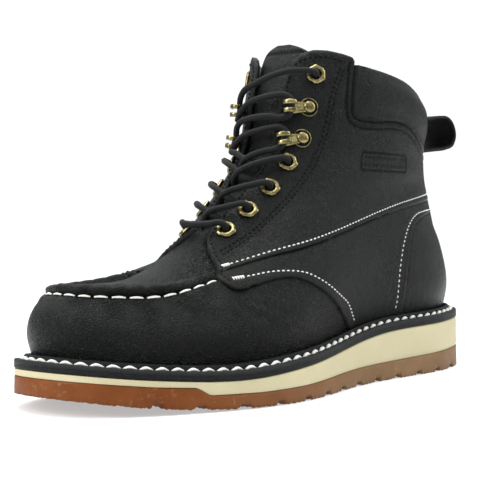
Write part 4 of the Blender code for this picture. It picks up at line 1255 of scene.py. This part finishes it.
def backstay():
    """Strap up the back seam, stitched along both edges."""
    up = np.linspace(BACKSTAY_LOW, BACKSTAY_TOP, 120)
    share = np.linspace(-1, 1, 31)
    angles = np.linspace(0, 60, 61)
    half = np.array([np.interp(BACKSTAY_HALF_WIDTH, last(angles, np.full(61, u))[:, 1], angles) for u in up])
    around = half[:, None] * share
    rows = np.broadcast_to(up[:, None], around.shape)
    side = (1 - np.abs(share))[None, :] * BACKSTAY_HALF_WIDTH
    edge = np.minimum(side, np.minimum(up - BACKSTAY_LOW, BACKSTAY_TOP - up)[:, None] * 145)
    outer = BACKSTAY_LIFT + BACKSTAY_THICKNESS - 0.6 * (1 - ramp(edge, -0.2, 0.9))
    outer = outer - 0.22 * bell(side - BACKSTAY_STITCH_INSET, 0.7) + 0.25 * ramp(side, 3.0, 9.0)
    # lighter edges: rubbed wear and a painted highlight
    sheet("backstay", around, rows, outer, np.full(around.shape, 1.0), 0.5 * bell(edge, 0.8))

    spots = []
    for shift in (0.0, 0.0145):
        for sign in (-1, 1):
            for at in np.arange(0.075, 0.735, 0.0205) + shift:
                reach = np.interp(at, up, half) * sign * (1 - BACKSTAY_STITCH_INSET / BACKSTAY_HALF_WIDTH)
                spots.append((reach, at))
    spots = np.array(spots)
    places = skin(spots[:, 0], spots[:, 1], np.full(len(spots), BACKSTAY_LIFT + 1.2))
    normal = last_frame(spots[:, 0], spots[:, 1])[0]
    count = len(spots) // 2
    stitch_row("backstay_stitches", places[:count], places[count:], unit(normal[:count] + normal[count:]),
               0.36, 0.2, DARK, "black_leather")


LOOP_PATH = [
    (-124.6, 145.4), (-132, 147.0), (-141, 148.4), (-150, 149.5), (-158, 149.2), (-163.5, 145.0),
    (-165.5, 138.5), (-162.5, 133.0), (-155, 130.6), (-143, 129.2), (-129.3, 127.9),
]
LOOP_HALF_WIDTH = 12.0
LOOP_THICKNESS = 2.0
LOOP_STITCH_INSET = 2.6


def pull_loop():
    """Strap loop with rounded edges and a stitched border."""
    rows = np.array(LOOP_PATH, float)
    key = run_length(rows)
    path = hermite(key, rows, np.linspace(0, key[-1], 90))
    ahead = unit(np.gradient(path, axis=0))
    out = np.stack([-ahead[:, 1], ahead[:, 0]], 1)
    section = []
    for y in np.linspace(-LOOP_HALF_WIDTH, LOOP_HALF_WIDTH, 25):
        border = LOOP_HALF_WIDTH - abs(y)
        height = LOOP_THICKNESS / 2 * (0.55 + 0.45 * ramp(border, 0.0, 0.9))
        section.append((y, height - 0.16 * bell(border - LOOP_STITCH_INSET, 0.6)))
    loop = section + [(y, -h) for y, h in section[::-1]]
    vertices = [(point[0] + side[0] * h, y, point[1] + side[1] * h)
                for point, side in zip(path, out) for y, h in loop]
    # lighter edges: rubbed wear and a painted highlight
    wear_and_highlight = np.tile([0.5 if LOOP_HALF_WIDTH - abs(y) < 0.8 else 0.05 for y, _ in loop], len(path))
    build("pull_loop", vertices, capped(len(path), len(loop)), [STRAP], "loop_leather", ["pull_loop"],
          wear_and_highlight=wear_and_highlight)

    starts, ends, normals = [], [], []
    run = run_length(path)
    for y in (-LOOP_HALF_WIDTH + LOOP_STITCH_INSET, LOOP_HALF_WIDTH - LOOP_STITCH_INSET):
        for at in np.arange(4.0, run[-1] - 4.0, 3.1):
            for reach, store in ((at + 1.05, ends), (at - 1.05, starts)):
                x, z = (np.interp(reach, run, column) for column in path.T)
                side_x, side_z = (np.interp(reach, run, column) for column in out.T)
                side = unit(np.array([side_x, 0.0, side_z]))
                store.append(np.array([x, y, z]) + side * 0.85)
            normals.append(side)
    stitch_row("pull_loop_stitches", starts, ends, normals, 0.36, 0.2, DARK, "loop_leather")


def local_frame(around, up):
    """Place on the last, with the directions to the toe, upwards and outwards."""
    normal, d_around, d_up = last_frame(around, up)
    forward = unit(d_around)
    if around > TURN / 2:
        forward = -forward
    climb = np.cross(normal, forward) if around <= TURN / 2 else np.cross(forward, normal)
    return last(around, up), forward, climb, normal


def seat_height(around, up, front, back, half):
    """Height that clears the facing below a plate."""
    origin, forward, climb, normal = local_frame(around, up)
    highest = 0.0
    for reach in np.linspace(-back, front, 5):
        for side in (-half, 0.0, half):
            spot = skin(*moved(around, up, reach * forward + side * climb), PANEL_STEP + SHAFT_STEP)
            highest = max(highest, float(np.dot(spot - origin, normal)))
    return highest


def revolve(origin, forward, climb, normal, profile, count, six=(), looped=False):
    """Rings round a normal; those listed in six are hexagons, with three corners drawn in to the flats."""
    vertices = []
    for r, (radius, height) in enumerate(profile):
        for k in range(count):
            turn = 2 * math.pi * k / count
            reach = radius
            if r in six:
                fold = (turn + math.pi / 6) % (math.pi / 3) - math.pi / 6
                reach = radius * math.cos(math.pi / 6) / (math.cos(fold) if abs(fold) < math.pi / 6 else 1.0)
            spoke = math.cos(turn) * forward + math.sin(turn) * climb
            vertices.append(origin + reach * spoke + height * normal)
    return vertices, grid_faces(len(profile), count, closed=True, looped=looped)


EYELET_BARREL = -3.2           # how deep the barrel goes


def eyelets():
    """Hexagonal eyelets with a rolled lip and a barrel through the leather."""
    for name, around, up in on_both_sides("eyelet", EYELETS):
        base = seat_height(around, up, EYELET_CORNER, EYELET_CORNER, EYELET_CORNER) + 0.1
        profile = [
            (EYELET_HOLE - 0.35, EYELET_BARREL), (EYELET_HOLE - 0.35, base + 0.7),
            (EYELET_HOLE - 0.1, base + 1.15), (EYELET_HOLE + 0.45, base + 1.35),
            (EYELET_CORNER - 1.25, base + 1.35), (EYELET_CORNER - 0.5, base + 1.1),
            (EYELET_CORNER, base + 0.55), (EYELET_CORNER, base - 0.3), (EYELET_HOLE + 0.1, base - 0.3),
            (EYELET_HOLE, EYELET_BARREL),
        ]
        vertices, faces = revolve(*local_frame(around, up), profile, 48, six=(4, 5, 6, 7), looped=True)
        build(name, vertices, faces, [BRASS], "antique_brass", [name])


# Hook: reach, height, half width and half slot along its middle; then rivet and rim as radius, height
HOOK_ROWS = np.array([
    (-2.6, 0.45, 1.4, 0), (-1.4, 0.45, 2.3, 0), (0.0, 0.45, 2.7, 0), (2.4, 0.45, 2.6, 0),
    (4.6, 0.45, 2.8, 0), (7.0, 0.45, 3.2, 0), (9.5, 0.5, 3.4, 0), (11.6, 0.7, 3.4, 0.6),
    (13.2, 1.6, 3.4, 1.0), (13.9, 3.0, 3.4, 1.0), (13.5, 4.6, 3.4, 1.0), (12.2, 5.7, 3.4, 1.0),
    (10.4, 6.1, 3.4, 1.0), (8.8, 5.9, 3.3, 0.9), (7.9, 5.6, 2.9, 0.8),
])
HOOK_HALF_THICKNESS = 0.55
HOOK_RIVET = [(0.01, 0.5), (3.05, 0.9), (3.1, 1.6), (2.8, 2.1), (1.9, 2.45), (0.9, 2.6), (0.01, 2.65)]
HOOK_RIM = [(4.3, -0.6), (4.3, 0.1), (4.5, 0.35), (4.8, 0.35), (4.95, 0.1), (4.95, -0.6), (4.3, -0.6)]
HOOK_SEAT = (9.0, 4.5, 3.6)


def hook_body(origin, forward, climb, normal, base):
    """Bent plate: round foot, neck, and a lip with two prongs curled back over the lace."""
    key = run_length(HOOK_ROWS[:, :2])
    at = np.linspace(0, key[-1], 64)
    path = hermite(key, HOOK_ROWS[:, :2], at)
    half, slot_half = (np.interp(at, key, HOOK_ROWS[:, column]) for column in (2, 3))
    ahead = unit(np.gradient(path, axis=0))
    out = np.stack([ahead[:, 1], -ahead[:, 0]], 1)
    thick = HOOK_HALF_THICKNESS
    parts = []
    for sign in (-1, 1):
        vertices = []
        for k in range(len(path)):
            inner, outer = sign * slot_half[k], sign * half[k]
            for y, h in ((inner, -thick), (inner, thick * 0.7), (inner + sign * 0.25, thick),
                         (outer - sign * 0.45, thick), (outer, thick * 0.5), (outer, -thick * 0.5),
                         (outer - sign * 0.45, -thick)):
                spot = path[k] + out[k] * h
                vertices.append(origin + spot[0] * forward + y * climb + (base + spot[1]) * normal)
        parts.append((vertices, capped(len(path), 7)))
    return joined(parts)


def hooks():
    """Speed hooks: bent plate, rivet and a rim round the rivet."""
    for name, around, up in on_both_sides("hook", HOOKS):
        axes = local_frame(around, up)
        base = seat_height(around, up, *HOOK_SEAT) + 0.25
        parts = [hook_body(*axes, base)]
        for profile, count in ((HOOK_RIVET, 28), (HOOK_RIM, 36)):
            parts.append(revolve(*axes, [(r, base + h) for r, h in profile], count))
        build(name, *joined(parts), [BRASS], "antique_brass", [name])


def cord_mesh(path):
    """Braided round cord along a path: parallel frames, a ripple of plaits round it."""
    key = run_length(path)
    count = int(key[-1] / 0.42)
    sides = 18
    at = np.linspace(0, key[-1], count)
    centre = hermite(key, path, at)
    ahead = unit(np.gradient(centre, axis=0))
    side = unit(np.cross(ahead[0], [0.0, 0.0, 1.0]))
    vertices = []
    for k in range(count):
        side = unit(side - ahead[k] * np.dot(side, ahead[k]))
        over = np.cross(ahead[k], side)
        swell = 1 + 0.28 * bell(min(at[k], at[-1] - at[k]), 7.0)
        for j in range(sides):
            turn = 2 * math.pi * j / sides
            plait = math.cos(3 * turn + at[k] * 2.4) * math.cos(3 * turn - at[k] * 2.4)
            reach = LACE_RADIUS * (0.94 + 0.09 * plait) * swell
            vertices.append(centre[k] + reach * (math.cos(turn) * side + math.sin(turn) * over))
    return vertices, capped(count, sides)


def cord(name, *paths):
    """Lace piece from its strands' paths."""
    build(name, *joined(cord_mesh(path) for path in paths), [CORD], "lace_cord", [name])


def route(stops, flip=False):
    """Points through (around, up, lift) stops."""
    rows = np.array(stops, float)
    return skin(TURN - rows[:, 0] if flip else rows[:, 0], rows[:, 1], rows[:, 2])


def beside(place, *steps):
    """Stops given by their steps from an (around, up) place, and their lifts."""
    return [(place[0] + a, place[1] + u, lift) for a, u, lift in steps]


# Stops of a lace that comes up out of an eyelet and over its rim
OUT_OF_EYELET = (
    (-2.0, -0.010, -5.4), (-0.9, -0.004, -2.2), (0.0, 0.0, 1.2), (0.8, 0.0015, 4.4), (4.0, 0.002, 6.1),
    (8.0, 0.001, 6.0),
)
INTO_EYELET = (
    (15.0, 0.001, 6.2), (8.0, 0.002, 6.3), (4.0, 0.002, 6.2), (0.8, 0.0015, 4.6), (0.0, 0.0, 1.2),
    (-0.9, -0.004, -2.2), (-2.0, -0.010, -5.4),
)
OUT_OF_HOOK = ((11.2, -0.004, 4.2), (12.0, 0.014, 4.7), (15.5, 0.023, 5.2))
ROUND_INNER_HOOK = (
    (-12.6, -0.022, 5.1), (-11.0, -0.010, 4.3), (-10.6, 0.004, 4.2), (-11.6, 0.018, 4.9), (-15.5, 0.031, 5.6),
)
INTO_HOOK = ((15.5, -0.025, 5.2), (12.0, -0.017, 4.7), (11.2, 0.001, 4.2))
# Where the strands from each eyelet pass under the other facing; the outer strand lies over the inner one
CROSSING_ENDS = ((188.5, 0.652), (189.0, 0.684), (191.0, 0.726))
STRANDS = ((False, 1.3), (True, 0.0))
# Runs over the tongue from a hook to the inner one, and back: around, step up from the hook, lift
ACROSS = (
    (167.0, 0.024, 5.0), (175.0, 0.022, 4.0), (183.0, 0.018, 3.8), (191.0, 0.008, 4.6), (197.0, -0.008, 5.3),
)
BACK_TO_HOOK = ((195.0, 0.040, 5.4), (187.0, 0.047, 4.4), (178.0, 0.050, 4.2), (169.0, 0.049, 5.0))
BACK_TO_EYELET = ((196.0, 0.043, 5.6), (187.0, 0.058, 4.8), (177.0, 0.073, 4.8), (168.0, 0.083, 5.6))


def laces():
    """Bar at the lowest eyelets, crossings up to the first hooks, and turns round the inner hooks."""
    bar = beside(EYELETS[0], *OUT_OF_EYELET) + [(172.5, 0.629, 5.4), (180.0, 0.629, 5.2)]
    cord("lace_bar", np.concatenate([route(bar), route(bar[:-1], True)[::-1]]))
    for number, (end, low) in enumerate(CROSSING_ENDS, 1):
        up = EYELETS[number][1]
        paths = []
        for flip, high in STRANDS:
            stops = beside(EYELETS[number], *OUT_OF_EYELET)
            stops += [(170.5, up * 0.6 + low * 0.4 + 0.002, 5.2),
                      (176.0, up * 0.4 + low * 0.6 + 0.002, 3.4 + high),
                      (181.0, up * 0.2 + low * 0.8, 2.2 + high * 1.2), (185.0, low, 0.9 + high * 0.6),
                      (end, low - 0.003, -2.4), (end + 3.0, low - 0.006, -4.2)]
            paths.append(route(stops, flip))
        cord(f"lace_crossing_{number}", *paths)
    paths = []
    for flip, high in STRANDS:
        stops = beside(HOOKS[0], (11.2, -0.002, 4.2), (11.6, -0.016, 4.6), (14.5, -0.027, 5.2))
        stops += [(165.0, 0.772, 4.9), (171.0, 0.768, 3.6 + high), (177.0, 0.763, 2.4 + high * 1.5),
                  (183.0, 0.759, 1.4 + high), (188.0, 0.755, 0.2), (193.5, 0.751, -2.6), (197.0, 0.747, -4.4)]
        paths.append(route(stops, flip))
    cord("lace_crossing_4", *paths)
    ways_back = ((BACK_TO_HOOK, HOOKS[1], INTO_HOOK), (BACK_TO_EYELET, EYELETS[4], INTO_EYELET))
    for number, (hook, (back, place, last_stops)) in enumerate(zip(HOOKS, ways_back), 1):
        base = (0.0, hook[1])
        stops = beside(hook, *OUT_OF_HOOK) + beside(base, *ACROSS)
        stops += beside((TURN - hook[0], hook[1]), *ROUND_INNER_HOOK)
        stops += beside(base, *back) + beside(place, *last_stops)
        cord(f"lace_turn_{number}", route(stops))


WHITE_SEAM = (2.9, 2.0, 0.38, WHITE)
DARK_SEAM = (2.7, 2.1, 0.34, DARK)

upper()
for name, rows, *looks in (
        ("lower_seam", LOWER_STITCH, *WHITE_SEAM), ("upper_seam", UPPER_STITCH, *WHITE_SEAM),
        ("counter_seam", COUNTER_STITCH, *WHITE_SEAM), ("facing_seam", FACING_STITCH, *DARK_SEAM),
        ("facing_seam_2", shifted(FACING_STITCH, 2.3), *DARK_SEAM),
        ("collar_seam", COLLAR_SEAM, 2.7, 2.0, 0.3, DARK), ("edge_seam", EDGE_STITCH, *DARK_SEAM),
        ("front_seam", shifted(QUARTER_EDGE[:9], 2.3), *DARK_SEAM)):
    seam(name, rows, *looks)
bartack("lower_bartack", (124.6, 0.377), (122.0, 0.3785))
bartack("upper_bartack", (137.6, 0.514), (134.8, 0.510))
moc_stitches()
welt()
midsole()
outsole()
insole()
tongue()
backstay()
pull_loop()
eyelets()
hooks()
laces()


def lamp(name, place, target, size, power):
    """Rectangular soft light aimed at a target, in metres and watts."""
    data = bpy.data.lights.new(name, "AREA")
    data.shape = "RECTANGLE"
    data.size, data.size_y = size
    data.energy = power
    made = bpy.data.objects.new(name, data)
    made.location = place
    made.rotation_euler = (Vector(target) - Vector(place)).to_track_quat("-Z", "Y").to_euler()
    bpy.context.scene.collection.objects.link(made)


def studio():
    """White floor, a dome that is brighter overhead, and three soft lights."""
    scene = bpy.context.scene
    scene.view_settings.view_transform = "Standard"
    mesh = bpy.data.meshes.new("floor")
    mesh.from_pydata([(-6, -6, 0), (6, -6, 0), (6, 6, 0), (-6, 6, 0)], [], [(0, 1, 2, 3)])
    floor = bpy.data.objects.new("floor", mesh)
    scene.collection.objects.link(floor)
    mesh.materials.append(material("floor_white", Base_Color=(0.5, 0.5, 0.5), Roughness=0.7,
                                   Specular_IOR_Level=0.1, Emission_Color=(1.0, 1.0, 1.0),
                                   Emission_Strength=0.44))
    world = bpy.data.worlds.new("studio")
    scene.world = world
    world.use_nodes = True
    nodes, links = world.node_tree.nodes, world.node_tree.links
    seen = nodes.new("ShaderNodeBackground")
    seen.inputs["Color"].default_value = (1.0, 1.0, 1.0, 1.0)
    seen.inputs["Strength"].default_value = 1.05
    lit = nodes["Background"]
    lit.inputs["Color"].default_value = (0.97, 0.99, 1.0, 1.0)
    place = nodes.new("ShaderNodeTexCoord")
    split = nodes.new("ShaderNodeSeparateXYZ")
    links.new(place.outputs["Generated"], split.inputs[0])
    dome = nodes.new("ShaderNodeMapRange")
    for key, value in (("From Min", 0.0), ("From Max", 1.0), ("To Min", 0.12), ("To Max", 1.85)):
        dome.inputs[key].default_value = value
    links.new(split.outputs["Z"], dome.inputs["Value"])
    links.new(dome.outputs[0], lit.inputs["Strength"])
    path = nodes.new("ShaderNodeLightPath")
    both = nodes.new("ShaderNodeMixShader")
    links.new(path.outputs["Is Camera Ray"], both.inputs["Fac"])
    links.new(lit.outputs[0], both.inputs[1])
    links.new(seen.outputs[0], both.inputs[2])
    links.new(both.outputs[0], nodes["World Output"].inputs["Surface"])
    lamp("overhead", (0.05, -0.15, 1.1), (0.0, 0.0, 0.08), (0.7, 0.7), 12.0)
    lamp("left_front", (1.15, -0.35, 0.75), (0.05, 0.0, 0.06), (0.35, 0.9), 13.0)
    lamp("right_back", (-0.75, 0.95, 0.75), (-0.08, 0.0, 0.09), (0.3, 1.0), 10.0)


def camera():
    """Camera at the photo's angle."""
    heading = math.radians(CAMERA_AZIMUTH)
    pitch = math.radians(CAMERA_PITCH)
    roll = math.radians(CAMERA_ROLL)
    level = math.cos(pitch)
    ahead = np.array([-math.cos(heading) * level, -math.sin(heading) * level, math.sin(pitch)])
    right = unit(np.cross(ahead, [0.0, 0.0, 1.0]))
    above = np.cross(right, ahead)
    rolled_right = right * math.cos(roll) + above * math.sin(roll)
    rolled_above = -right * math.sin(roll) + above * math.cos(roll)
    data = bpy.data.cameras.new("camera")
    data.lens = CAMERA_LENS
    data.sensor_width = 36.0
    data.sensor_fit = "HORIZONTAL"
    data.clip_start = 0.01
    data.clip_end = 30.0
    made = bpy.data.objects.new("camera", data)
    bpy.context.scene.collection.objects.link(made)
    turn = Matrix(np.stack([rolled_right, rolled_above, -ahead], 1).tolist())
    place = (np.array(CAMERA_PLACE) + FRAME_SHIFT) * MM
    made.matrix_world = Matrix.Translation(place.tolist()) @ turn.to_4x4()
    bpy.context.scene.camera = made


studio()
camera()
